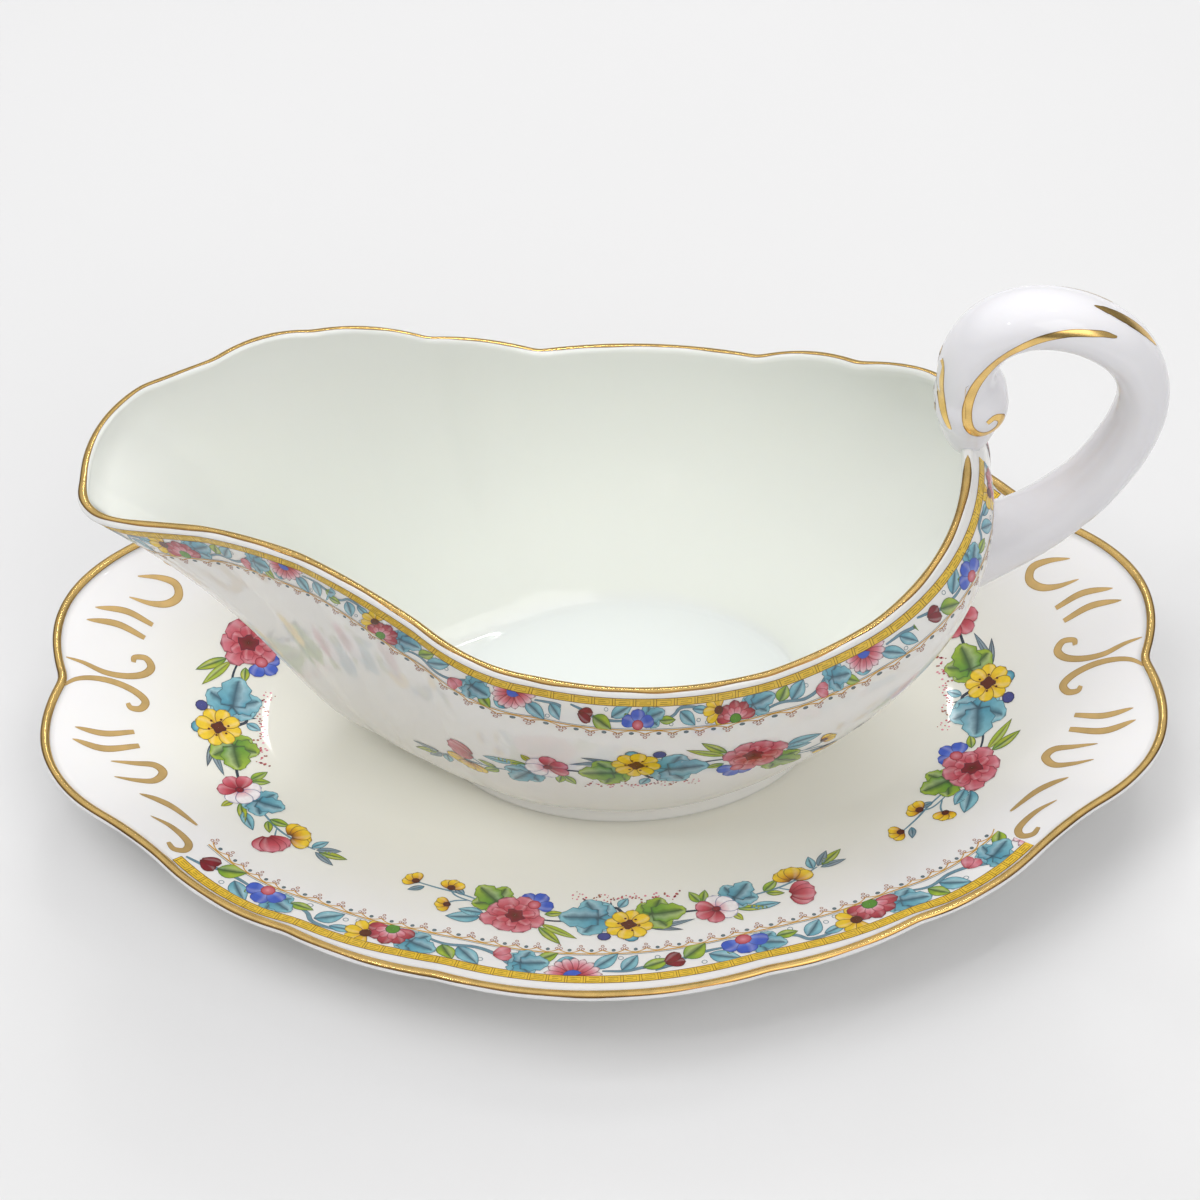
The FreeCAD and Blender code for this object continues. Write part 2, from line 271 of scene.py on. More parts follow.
def wall_ring(rim, base, level, end_handles, t):
    """One ring of the bowl's wall between the ellipse at its base and the rim line."""
    angle = bowl_angles(rim)
    along = np.cos(angle)
    share = np.where(along < 0, np.abs(along) ** SPOUT_BLEND, np.abs(along) ** END_BLEND)
    side = np.array(WALL_SIDE)
    target = np.where((along < 0)[:, None, None], np.array(WALL_SPOUT), np.array(end_handles))
    out, up = bezier(side + (target - side) * share[:, None, None], t)
    foot = np.stack([BOWL_X + base[0] * along, base[1] * np.sin(angle), 0 * along + level], 1)
    ring = foot + (rim - foot) * out[:, None]
    ring[:, 2] = level + (rim[:, 2] - level) * up
    return ring


def ellipse_ring(angles, centre_x, profile):
    """One level ring on an ellipse, with its points in the columns' directions."""
    half_x, half_y, z = profile
    return np.stack([centre_x + half_x * np.cos(angles), half_y * np.sin(angles), 0 * angles + z], 1)


def smaller_rings(angles, centre_x, profile, shares):
    """Copies of one level ring, each shrunk towards its middle by one of the shares."""
    half_x, half_y, z = profile
    return [ellipse_ring(angles, centre_x, (half_x * f, half_y * f, z)) for f in shares]


def stand_rings():
    """The stand's rings: middle of the well, flare, rounded rim, back, foot, middle of the underside."""
    rim = stand_rim()
    normals = plan_normals(rim)
    angles = stand_angles(rim)
    inner = rim - normals * STAND_RIM_R
    rows = smaller_rings(angles, 0, (*WELL, WELL_Z), (0.3, 0.6, 0.85, 0.96))
    fractions = np.linspace(0, 1, WALL_ROWS)
    rows += [slope_ring(inner, WELL_Z, STAND_RIM_R, t) for t in fractions]
    rows += [bead_ring(rim, normals, STAND_RIM_R, a) for a in range(165, -31, -15)]
    rows += [slope_ring(rim, UNDER_Z, STAND_BACK_DROP, t * 0.965) for t in fractions[::-1]]
    rows += [ellipse_ring(angles, 0, profile) for profile in STAND_UNDERSIDE]
    rows += smaller_rings(angles, 0, STAND_UNDERSIDE[-1], (0.8, 0.5, 0.2))
    return rows


def bowl_rings():
    """The bowl's rings and the index of the first row inside: hollow, foot, wall, lip, wall, well."""
    rim = bowl_rim()
    normals = plan_normals(rim)
    angles = bowl_angles(rim)
    low = np.array([0, 0, -BOWL_RIM_R])
    outside = rim + normals * BOWL_RIM_R + low
    inside = rim - normals * BOWL_RIM_R + low
    fractions = np.linspace(0, 1, WALL_ROWS) ** 1.15
    rows = smaller_rings(angles, BOWL_X, BOWL_HOLLOW, (0.3, 0.6, 0.9))
    rows += [ellipse_ring(angles, BOWL_X, profile) for profile in BOWL_FOOT]
    rows += [wall_ring(outside, BOWL_WAIST, WALL_Z, WALL_END, t) for t in fractions]
    rows += [bead_ring(rim, normals, BOWL_RIM_R, a) for a in range(15, 106, 15)]
    first_inside = len(rows)
    rows += [bead_ring(rim, normals, BOWL_RIM_R, a) for a in range(120, 166, 15)]
    rows += [wall_ring(inside, BOWL_FLOOR, BOWL_FLOOR_Z, WALL_END_INSIDE, t) for t in fractions[::-1]]
    rows += [ellipse_ring(angles, BOWL_X, profile) for profile in BOWL_WELL]
    return rows, first_inside


# ---- meshes ----------------------------------------------------------------------------------
def skin(rings):
    """Points and faces of a closed skin over a stack of rings, with a fan at each end."""
    around = len(rings[0])
    points = np.concatenate(rings + [rings[0].mean(0)[None], rings[-1].mean(0)[None]])
    j = np.arange(around)
    k = (j + 1) % around
    faces = []
    for row in range(len(rings) - 1):
        a = row * around
        b = a + around
        faces += np.stack([a + j, a + k, b + k, b + j], 1).tolist()
    start, end = len(points) - 2, len(points) - 1
    last = (len(rings) - 1) * around
    faces += np.stack([j * 0 + start, k, j], 1).tolist()
    faces += np.stack([j * 0 + end, last + j, last + k], 1).tolist()
    if signed_volume(points, faces) < 0:
        faces = [face[::-1] for face in faces]
    return points, faces


def signed_volume(points, faces):
    """Six times the volume inside a closed skin, from the first triangle of each face and the rest."""
    total = 0.0
    for face in faces:
        a = points[face[0]]
        for p, q in zip(face[1:], face[2:]):
            total += float(np.dot(a, np.cross(points[p], points[q])))
    return total


def mesh_object(name, points, faces):
    """A new object in the scene from millimetre points."""
    mesh = bpy.data.meshes.new(name)
    mesh.from_pydata([tuple(p) for p in np.asarray(points) * MM], [], faces)
    mesh.shade_smooth()
    obj = bpy.data.objects.new(name, mesh)
    bpy.context.scene.collection.objects.link(obj)
    return obj


class Surface:
    """A china skin that decoration is laid on."""

    def __init__(self, points, faces):
        self.points = [Vector(p) for p in points]
        self.faces = faces
        self.tree = BVHTree.FromPolygons(self.points, faces)
        sums = np.zeros((len(points), 3))
        quads = np.array([face[:4] if len(face) > 3 else face + face[:1] for face in faces])
        cross = np.cross(points[quads[:, 2]] - points[quads[:, 0]], points[quads[:, 3]] - points[quads[:, 1]])
        for corner in range(4):
            np.add.at(sums, quads[:, corner], cross)
        self.normals = sums / np.maximum(np.linalg.norm(sums, axis=1), 1e-12)[:, None]

    def smooth_normal(self, spot, index):
        """The shading normal at a spot on one face."""
        face = self.faces[index]
        weights = poly_3d_calc([self.points[i] for i in face], spot)
        normal = Vector(sum(w * self.normals[i] for w, i in zip(weights, face)))
        return normal.normalized()

    def nearest(self, point):
        spot, _, index, _ = self.tree.find_nearest(Vector(point))
        return spot, self.smooth_normal(spot, index)

    def cast(self, origin, direction):
        spot, _, index, _ = self.tree.ray_cast(Vector(origin), Vector(direction))
        if spot is None:
            return self.nearest(origin)
        return spot, self.smooth_normal(spot, index)


class Border:
    """Places (s, d): s along a rim line from its first point, d over the surface from its crest."""
    STEP = 0.75

    def __init__(self, surface, rim, heading, reach):
        columns = rim[::2]
        lengths = np.linalg.norm(np.roll(columns, -1, 0) - columns, axis=1)
        self.s = np.concatenate([[0], np.cumsum(lengths)])
        self.length = self.s[-1]
        count = int(reach / self.STEP) + 2
        spots = np.zeros((count, len(columns), 3))
        normals = np.zeros((count, len(columns), 3))
        for j, (crest, level) in enumerate(zip(columns, heading[::2])):
            here, normal = surface.nearest(crest)
            way = Vector(level)
            for k in range(count):
                spots[k, j] = here
                normals[k, j] = normal
                way = (way - normal * way.dot(normal)).normalized()
                ahead, normal = surface.nearest(here + way * self.STEP)
                way = ahead - here
                here = ahead
        for k in range(2, count):
            width = 0.35 * k * self.STEP / (self.length / len(columns))
            smooth = blurred_ring(spots[k], width)
            for j, point in enumerate(smooth):
                spots[k, j], normals[k, j] = surface.nearest(point)
        self.spots = spots
        self.normals = normals

    def __call__(self, s, d):
        s = s % self.length
        j = int(np.searchsorted(self.s, s, side="right")) - 1
        f = (s - self.s[j]) / (self.s[j + 1] - self.s[j])
        depth = min(max(d / self.STEP, 0), len(self.spots) - 1.001)
        k = int(depth)
        g = depth - k
        next_j = (j + 1) % self.spots.shape[1]
        weights = (((1 - g) * (1 - f), k, j), ((1 - g) * f, k, next_j),
                   (g * (1 - f), k + 1, j), (g * f, k + 1, next_j))
        point = sum(w * self.spots[a, b] for w, a, b in weights)
        normal = sum(w * self.normals[a, b] for w, a, b in weights)
        return Vector(point), Vector(normal).normalized()


def blurred_ring(ring, width):
    """A closed ring of points with its small waves smoothed away over so many columns."""
    reach = max(1, int(width * 2.5))
    offsets = np.arange(-reach, reach + 1)
    weights = np.exp(-0.5 * (offsets / max(width, 0.3)) ** 2)
    weights /= weights.sum()
    return sum(w * np.roll(ring, o, 0) for w, o in zip(weights, offsets))


# ---- drawing on a surface --------------------------------------------------------------------
class Coating:
    """Thin coloured shapes laid on a surface by a place function, gathered for one mesh."""

    def __init__(self):
        self.points = []
        self.normals = []
        self.colours = []
        self.faces = []

    def add(self, place, grid, colours, lifts, closed=False):
        """A grid of (u, v) rows joined by quads. Each has a colour and a height in mm."""
        start = len(self.points)
        across = len(grid[0])
        for row, row_colours, row_lifts in zip(grid, colours, lifts):
            for (u, v), colour, lift in zip(row, row_colours, row_lifts):
                point, normal = place(u, v)
                self.points.append(point + normal * lift)
                self.normals.append(normal)
                self.colours.append(colour)
        for r in range(len(grid) - 1):
            for c in range(across - (0 if closed else 1)):
                d = (c + 1) % across
                self.face([start + r * across + c, start + r * across + d,
                           start + (r + 1) * across + d, start + (r + 1) * across + c])

    def face(self, corners):
        """A face, turned to look the same way as the surface under it; slivers are left out."""
        points = [self.points[i] for i in corners]
        facing = (points[2] - points[0]).cross(points[3] - points[1])
        if facing.length < 1e-6:
            return
        side = facing.dot(self.normals[corners[0]])
        self.faces.append(corners if side > 0 else corners[::-1])

    def build(self, name, body, material):
        obj = mesh_object(name, [tuple(p) for p in self.points], self.faces)
        colour = obj.data.color_attributes.new(name="Col", type="FLOAT_COLOR", domain="POINT")
        flat = [c for rgb in self.colours for c in (*rgb, 1.0)]
        colour.data.foreach_set("color", flat)
        obj.data.normals_split_custom_set_from_vertices([tuple(n) for n in self.normals])
        obj.data.materials.append(material)
        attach(obj, body)
        return obj


def mixed(a, b, share):
    """A colour part of the way from a to b."""
    return tuple(p + (q - p) * share for p, q in zip(a, b))


class Pen:
    """Draws shapes of one coating in a local frame: moved, turned and scaled on its place function."""

    def __init__(self, coating, place, u=0.0, v=0.0, degrees=0.0, scale=(1.0, 1.0), level=0.0):
        self.coating = coating
        self.base = place
        self.at = (u, v)
        self.turn = math.radians(degrees)
        self.scale = scale
        self.level = level

    def place(self, a, b):
        c = math.cos(self.turn)
        s = math.sin(self.turn)
        return self.base(self.at[0] + (a * c - b * s) * self.scale[0],
                         self.at[1] + (a * s + b * c) * self.scale[1])

    def moved(self, a, b, degrees=0.0, scale=1.0, level=0.0):
        """A pen whose frame sits at (a, b) of this one."""
        return Pen(self.coating, self.place, a, b, degrees, (scale, scale), self.level + level)

    def height(self):
        return PRINT_LIFT + LEVEL_LIFT * self.level

    def blade(self, length, width, profile, stops, edge=INK, vein=None, bend=0.0, rows=9):
        """A leaf or petal from (0, 0) along +a. stops are colours from its foot to its tip."""
        grid = []
        colours = []
        line = min(OUTLINE, width * 0.3)
        for i in range(rows):
            t = i / (rows - 1)
            half = max(width * 0.5 * profile(t), 0.01)
            a = t * length
            b = bend * length * t * t
            inner = max(half - line, 0.0)
            fill = along_stops(stops, t)
            row = [(a, b + k) for k in (-half, -inner, -inner * 0.5, 0, inner * 0.5, inner, half)]
            end = i in (0, rows - 1)
            middle = vein if vein and 0.05 < t < 0.9 else fill
            light = mixed(fill, WHITE, 0.18)
            grid.append(row)
            colours.append([edge] * 7 if end else [edge, fill, fill, middle, light, fill, edge])
        lift = self.height()
        self.coating.add(self.place, grid, colours, [[lift] * 7] * rows)

    def disc(self, radius, colour, rim=None, shape=None, steps=14, middle=None):
        """A round spot, or one whose radius a shape function varies with the angle."""
        shape = shape or (lambda angle: 1.0)
        line = min(OUTLINE, radius * 0.4)
        grid = []
        colours = []
        middle = middle or colour
        zones = ((0.02, middle), (0.5, mixed(middle, colour, 0.6)), (None, colour), (1.0, rim or colour))
        for share, shade in zones:
            row = []
            for i in range(steps):
                angle = 2 * math.pi * i / steps
                r = radius * shape(angle)
                r = r - line if share is None else r * share
                row.append((r * math.cos(angle), r * math.sin(angle)))
            grid.append(row)
            colours.append([shade] * steps)
        lift = self.height()
        self.coating.add(self.place, grid, colours, [[lift] * steps] * 4, closed=True)

    def circle(self, radius, width, colour, steps=12):
        """An open ring."""
        grid = []
        for r in (radius - width / 2, radius + width / 2):
            grid.append([(r * math.cos(2 * math.pi * i / steps), r * math.sin(2 * math.pi * i / steps))
                         for i in range(steps)])
        lift = self.height()
        self.coating.add(self.place, grid, [[colour] * steps] * 2, [[lift] * steps] * 2, closed=True)

    def stroke(self, points, width, colour, taper=(1.0, 1.0), edge=None, per_span=5, dome=0.0, smooth=True):
        """A line through the points. taper is its width at each end, as a share of the middle's."""
        line = open_spline(points, per_span) if smooth else np.asarray(points, float)
        run = np.gradient(line, axis=0)
        run /= np.maximum(np.linalg.norm(run, axis=1), 1e-9)[:, None]
        grid = []
        lifts = []
        shares = (-1.0, -0.72, 0.0, 0.72, 1.0)
        for i, ((a, b), (ra, rb)) in enumerate(zip(line, run)):
            t = i / (len(line) - 1)
            ends = taper[0] + (taper[1] - taper[0]) * t
            half = 0.5 * width * (ends + (1 - ends) * math.sin(math.pi * t) ** 0.7)
            grid.append([(a - rb * half * k, b + ra * half * k) for k in shares])
            lifts.append([self.height() + dome * (1 - k * k) for k in shares])
        colours = [[edge or colour, colour, colour, colour, edge or colour]] * len(line)
        self.coating.add(self.place, grid, colours, lifts)


def along_stops(stops, t):
    """The colour at t along a list of colours."""
    spot = t * (len(stops) - 1)
    i = min(int(spot), len(stops) - 2)
    return mixed(stops[i], stops[i + 1], spot - i)


def leaf_profile(t):
    """Half width of a pointed leaf."""
    return math.sin(math.pi * t ** 0.85) ** 0.9


def petal_profile(t):
    """Half width of a petal: narrow foot and round tip."""
    if t < 0.6:
        return 0.3 + 0.7 * math.sin(math.pi / 2 * t / 0.6)
    return math.sqrt(max(0.0, 1 - ((t - 0.6) / 0.4) ** 2))


def ragged_profile(t):
    """Half width of a leaf's lobe: broad, with notched edges."""
    return math.sin(math.pi * (0.16 + 0.84 * t)) ** 0.52 * (0.89 + 0.11 * math.cos(6 * math.pi * t))


def ruffled_profile(t):
    """Half width of a petal with a wavy edge."""
    return petal_profile(t) * (0.9 + 0.1 * math.cos(7 * math.pi * t))


# ---- motifs ----------------------------------------------------------------------------------
def leaf(pen, length, width, dark, light, bend=0.0, profile=leaf_profile):
    pen.blade(length, width, profile, (dark, light, mixed(light, dark, 0.5)), mixed(INK, dark, 0.25),
              vein=mixed(INK, dark, 0.35), bend=bend)


def lobed_leaf(pen, size, dark, light):
    """A broad leaf of five pointed, ragged lobes with a dark vein in each, from its stalk along +a."""
    lobes = ((118, 0.42, 0.50), (-118, 0.42, 0.50), (62, 0.54, 0.58), (-62, 0.54, 0.58), (0, 0.68, 0.62))
    for order, (degrees, length, width) in enumerate(lobes):
        lobe_pen = pen.moved(size * 0.22, 0, degrees, level=0.25 * order)
        lobe_pen.blade(size * length, size * width, ragged_profile, (dark, mixed(dark, light, 0.5), light),
                       mixed(INK, dark, 0.25), vein=mixed(INK, dark, 0.35), rows=13)


def petals(pen, count, radius, width, stops, edge, first=0.0, span=360.0, inner=0.12, profile=petal_profile,
           uneven=0.0):
    """A ring or a fan of petals round (0, 0)."""
    gap = span / count if span >= 360 else span / max(count - 1, 1)
    for i in range(count):
        petal = pen.moved(0, 0, first + gap * i, level=0.35 * (i % 3))
        length = radius * (1 - inner) * (1 + uneven * math.sin(2.3 * i + 1))
        petal.moved(radius * inner, 0).blade(length, width, profile, stops, edge)


def red_flower(pen, radius):
    """A full flower of two rings of uneven, ruffled petals round a large dark middle."""
    petals(pen, 8, radius, radius * 0.84, (MAROON, ROSE, PINK), mixed(INK, MAROON, 0.6),
           profile=ruffled_profile, uneven=0.12)
    petals(pen.moved(0, 0, 18, level=1.2), 7, radius * 0.66, radius * 0.46, (BROWN, ROSE, ROSE, PINK),
           mixed(MAROON, ROSE, 0.3), profile=ruffled_profile, uneven=0.16)

    def ragged(angle):
        return 1 + 0.22 * math.cos(5 * angle) + 0.12 * math.sin(2 * angle)

    pen.moved(radius * 0.06, 0, level=2.6).disc(radius * 0.32, MAROON, INK, ragged, middle=BROWN)


def yellow_flower(pen, radius):
    petals(pen, 8, radius, radius * 0.66, (AMBER, YELLOW, YELLOW), mixed(INK, BROWN, 0.7))
    pen.moved(0, 0, level=1.4).disc(radius * 0.30, BROWN, INK, lambda a: 1 + 0.2 * math.cos(4 * a))
    for i in range(6):
        angle = math.radians(60 * i)
        pen.moved(radius * 0.42 * math.cos(angle), radius * 0.42 * math.sin(angle), level=1.6).disc(
            radius * 0.06, BROWN, steps=6)


def white_flower(pen, radius):
    """A pale flower with indigo outlines on one side and rosy petals on the other."""
    petals(pen, 4, radius, radius * 0.8, (PINK, WHITE, WHITE), INDIGO, first=-75, span=130)
    petals(pen.moved(0, 0, level=0.6), 3, radius, radius * 0.75, (MAROON, ROSE, PINK), MAROON,
           first=115, span=110)
    pen.moved(0, 0, level=1.8).disc(radius * 0.2, MAROON, INK, steps=8)


def cup(pen, radius, stops, edge, count=3, span=80.0):
    """A half-open flower that faces +a, on a dark foot."""
    petals(pen, count, radius, radius * 0.75, stops, edge, first=-span / 2, span=span)


def bud(pen, radius):
    cup(pen, radius * 1.9, (BROWN, AMBER, YELLOW, YELLOW), mixed(INK, BROWN, 0.6))
    pen.moved(radius * 0.35, 0, level=1.2).disc(radius * 0.5, BROWN, INK, steps=8)


def heart_bud(pen, size, dark=MAROON, light=ROSE):
    """A round bud with a dip at its tip."""
    for side in (-1, 1):
        pen.moved(0, 0, side * 22, level=0.3 * (side + 1)).blade(size, size * 0.72, petal_profile,
                                                               (dark, light, dark), mixed(INK, dark, 0.5))


def blue_flower(pen, radius):
    """Three cobalt petals round a red half middle; it faces +a."""
    petals(pen, 3, radius, radius * 0.85, (COBALT_LIGHT, COBALT, COBALT), mixed(INK, COBALT, 0.4),
           first=-68, span=136)
    pen.moved(0, 0, level=1.2).disc(radius * 0.34, ROSE, MAROON, steps=10, middle=PINK)


def daisy(pen, radius):
    """A half flower that hangs from the key band: maroon, pink and white petals, blue middle."""
    petals(pen, 9, radius, radius * 0.36, (MAROON, ROSE, PINK, WHITE), mixed(INK, MAROON, 0.6),
           first=-84, span=168)
    pen.moved(0, 0, level=1.2).disc(radius * 0.34, COBALT, INDIGO, steps=12,
                                    shape=lambda a: 1.0 if math.cos(a) > 0 else 0.25)


def peony(pen, radius):
    """A half flower that sits on the lower line: maroon and pink lobes round a green middle."""
    petals(pen, 5, radius, radius * 0.62, (ROSE, ROSE, MAROON), mixed(INK, MAROON, 0.5), first=-80, span=160)
    petals(pen.moved(0, 0, level=1.1), 4, radius * 0.68, radius * 0.4, (WHITE, PINK, ROSE), MAROON,
           first=-66, span=132)
    pen.moved(0, 0, level=2.2).disc(radius * 0.3, GREEN, INK, steps=10)


# ---- printed sprays --------------------------------------------------------------------------
def draw_spray(pen):
    """The loose spray of flowers, along u from the buds to the leafy tip; +v points outwards."""
    stems = ((STEM_BLUE, 0.45, [(-22, 1.2), (-17, 0.2), (-12, -0.6), (-5, -0.2)]),
             (STEM_BLUE, 0.4, [(-15.5, -1.4), (-13, 0.4), (-9, 0.6)]),
             (STEM_BLUE, 0.4, [(-13.6, 4.2), (-12.2, 2.0), (-10, 0.6)]),
             (STEM_DARK, 0.5, [(4, 1.2), (9, 1.0), (13, -0.5), (17, -2.8)]),
             (STEM_DARK, 0.8, [(16, -2.5), (20, -4.2), (22, -2.2), (25.5, -1.2), (32, -1.2), (38, -0.6)]),
             (STEM_DARK, 0.4, [(19.5, -3.8), (19.0, -6.0)]),
             (STEM_BLUE, 0.5, [(42, -0.2), (48, -1.0), (54, -0.6), (59, -0.8), (64, -1.4)]),
             (STEM_BLUE, 0.35, [(54, -0.6), (55.5, 1.2), (56.5, 2.2)]))
    for colour, width, points in stems:
        pen.stroke(points, width, colour, (0.6, 0.6), per_span=6)
    # u, v, direction, length, width, colours
    blades = ((-19.6, 1.4, 120, 3.6, 1.6, TEAL, GREY_LEAF), (-11.5, -0.6, 200, 3.4, 1.7, TEAL, GREY_LEAF),
              (-5.5, 3.0, 165, 5.0, 2.8, TEAL, TEAL_LIGHT), (-5.6, 4.4, 150, 6.5, 3.6, TEAL, TEAL_LIGHT),
              (5.6, 3.6, 40, 7.0, 2.2, GREEN, LIME), (5.8, 2.6, 22, 8.4, 2.0, LIME, GREEN_LIGHT),
              (5.8, -0.6, -20, 4.0, 2.0, GREEN, LIME),
              (19.6, 3.2, 198, 8.2, 1.5, STEM_BLUE, GREY_LEAF),
              (26.8, 3.2, -12, 9.0, 1.5, STEM_BLUE, GREY_LEAF),
              (26.4, 2.6, 14, 6.8, 1.4, STEM_DARK, GREY_LEAF), (20.2, 2.2, 168, 6.0, 1.3, TEAL, GREY_LEAF),
              (19.4, -3.6, 218, 3.8, 2.2, TEAL, TEAL_LIGHT), (20.8, -4.2, -60, 3.6, 2.4, TEAL, TEAL_LIGHT),
              (38.0, -3.0, 245, 4.4, 2.4, GREEN, GREEN_LIGHT),
              (38.4, -3.0, 290, 4.0, 2.2, GREEN, GREEN_LIGHT),
              (44.0, 1.6, 20, 6.4, 2.0, GREEN, LIME), (46.5, 2.4, 12, 6.0, 2.6, TEAL, TEAL_LIGHT),
              (43.0, 2.6, 70, 3.4, 1.6, LIME, LIME), (51.0, -1.0, -30, 4.6, 2.4, GREEN, GREEN_LIGHT),
              (51.2, -0.4, 30, 3.8, 1.8, GREEN, LIME),
              (63.0, -1.4, -70, 4.2, 2.2, TEAL, TEAL_LIGHT),
              (64.2, -1.4, -34, 5.4, 2.0, STEM_BLUE, GREY_LEAF),
              (65.0, -1.2, -14, 6.4, 2.2, GREEN, LIME), (64.4, -0.8, 14, 5.6, 1.7, STEM_BLUE, GREY_LEAF))
    for u, v, degrees, length, width, dark, light in blades:
        leaf(pen.moved(u, v, degrees, level=1), length, width, dark, light, bend=0.06)
    lobed_leaf(pen.moved(-2.8, -0.6, 208, level=1.2), 9.6, GREEN, GREEN_LIGHT)
    lobed_leaf(pen.moved(19.4, -1.2, 176, level=1.2), 12.0, TEAL, TEAL_LIGHT)
    lobed_leaf(pen.moved(25.2, -1.4, -2, level=1.2), 10.6, GREEN, GREEN_LIGHT)
    lobed_leaf(pen.moved(43.4, -0.6, -38, level=1.2), 9.0, TEAL, TEAL_LIGHT)
    pen.moved(18.2, 5.2, level=2).disc(1.3, INDIGO, INK, steps=10)
    pen.moved(23.2, 5.6, level=2).disc(1.4, TEAL, INK, steps=10, middle=TEAL_LIGHT)
    red_flower(pen.moved(0.0, 1.4, 10, level=2), 6.1)
    blue_flower(pen.moved(3.0, -3.0, -70, level=1.6), 4.2)
    yellow_flower(pen.moved(22.8, 1.4, 12, level=2), 4.9)
    white_flower(pen.moved(40.4, 0.2, -8, level=2), 4.6)
    cup(pen.moved(57.6, -0.6, -62, level=2), 4.8, (BROWN, AMBER, YELLOW, YELLOW), mixed(INK, BROWN, 0.6),
        5, 110)
    cup(pen.moved(54.6, 2.6, 22, level=2), 5.4, (MAROON, ROSE, PINK), MAROON, 4, 70)
    bud(pen.moved(-21.4, 1.2, 190, level=2), 1.7)
    bud(pen.moved(-14.8, -0.6, 258, level=2), 1.8)
    bud(pen.moved(-12.4, 3.6, 150, level=2), 1.6)
    draw_dots(pen)


def draw_dots(pen):
    """The cloud of fine dots over the middle of a spray."""
    rng = random.Random(7)
    for i in range(74):
        u = 10.5 + 24 * (i / 74) + rng.uniform(-0.4, 0.4)
        v = -7.0 + 1.6 * (rng.random() + rng.random() - 1) + 0.5 * math.sin(u)
        colour = rng.choice((PINK, ROSE, MAROON, FRINGE_BROWN))
        pen.moved(u, v, level=0.5).disc(rng.uniform(0.16, 0.34), colour, steps=6)


def arc_place(plane, centre, radius, first):
    """(u, v) along and out from a circle in a plane whose own place function takes (x, y)."""
    def place(u, v):
        angle = math.radians(first) + u / radius
        return plane(centre[0] + (radius + v) * math.cos(angle), centre[1] + (radius + v) * math.sin(angle))
    return place


# ---- printed borders -------------------------------------------------------------------------
def draw_unit(pen):
    """One repeat of the flower border: +a along the rim, b from 0 at the key band to 7.4 at the line."""
    vine = ([(-4, 0.8), (0, 2.2), (3, 3.8), (8, 4.6), (13, 4.4)],
            [(22, 4.4), (26, 3.0), (28, 0.9), (31, 0.7), (35, 1.4)],
            [(50, 6.4), (56, 4.6), (62, 5.6), (67, 4.4), (70, 2.2), (73, 0.8)],
            [(90, 1.6), (95, 1.4), (99, 2.2), (104, 1.8), (109, 2.6)])
    for points in vine:
        pen.stroke(points, 1.0, STEM_BLUE, (0.5, 0.5), edge=STEM_DARK, per_span=6)
    # a, b, direction, length, width, colours
    blades = ((2.6, 3.6, 30, 6.2, 4.2, GREEN, GREEN_LIGHT), (8.0, 3.6, -38, 6.6, 3.4, TEAL, TEAL_LIGHT),
              (22.0, 4.4, -6, 4.4, 2.4, GREEN, GREEN_LIGHT), (28.0, 1.8, 42, 6.0, 3.4, TEAL, TEAL_LIGHT),
              (31.6, 1.4, 8, 5.4, 2.2, TEAL, TEAL_LIGHT), (55.6, 4.2, -58, 4.8, 3.0, GREEN, GREEN_LIGHT),
              (58.6, 4.6, -44, 6.4, 3.6, TEAL, TEAL_LIGHT), (75.6, 4.2, 32, 5.2, 2.8, GREEN, GREEN_LIGHT),
              (88.0, 2.4, 38, 6.8, 3.2, TEAL, TEAL_LIGHT), (84.0, 6.0, 205, 4.6, 2.2, TEAL, TEAL_LIGHT),
              (67.4, 4.6, -24, 3.0, 1.5, TEAL, TEAL_LIGHT), (94.0, 1.6, 48, 5.6, 3.0, TEAL, TEAL_LIGHT),
              (98.5, 2.2, 12, 5.8, 3.0, GREEN, GREEN_LIGHT), (12.0, 2.0, 60, 3.2, 1.8, GREEN, LIME))
    for a, b, degrees, length, width, dark, light in blades:
        leaf(pen.moved(a, b, degrees, level=1), length * 1.1, width * 1.2, dark, light, bend=0.08)
    for a, b, degrees, size in ((17.0, 4.0, -22, 8.0), (47.4, 3.6, -16, 9.0), (70.4, 2.4, 10, 9.4)):
        lobed_leaf(pen.moved(a, b, degrees, level=1.2), size, TEAL, TEAL_LIGHT)
    heart_bud(pen.moved(-1.6, 3.0, 14, level=2), 4.4, mixed(MAROON, BROWN, 0.5), MAROON)
    blue_flower(pen.moved(15.8, 5.6, -90, level=2), 5.0)
    yellow_half = pen.moved(39.6, 2.6, 178, level=2)
    petals(yellow_half, 5, 5.0, 3.0, (AMBER, YELLOW, YELLOW), mixed(INK, BROWN, 0.6), first=-90, span=180)
    yellow_half.moved(0.2, 0, level=1.4).disc(1.35, BROWN, INK, steps=10)
    peony(pen.moved(44.2, 6.0, -92, level=2.2), 5.6)
    heart_bud(pen.moved(66.2, 4.4, 20, level=2), 4.2, ROSE, PINK)
    daisy(pen.moved(84.0, -0.2, 90, level=2), 6.2)
    for a, b in ((6.5, 1.2), (12, 1.0), (25.5, 5.6), (33.5, 5.0), (36, 6.0), (52.6, 1.6), (60, 1.2),
                 (64, 2.0), (72.6, 6.2), (94, 5.8), (97, 4.6), (102, 5.2)):
        pen.moved(a, b, level=0.4).circle(0.55, 0.18, GREY_LEAF)


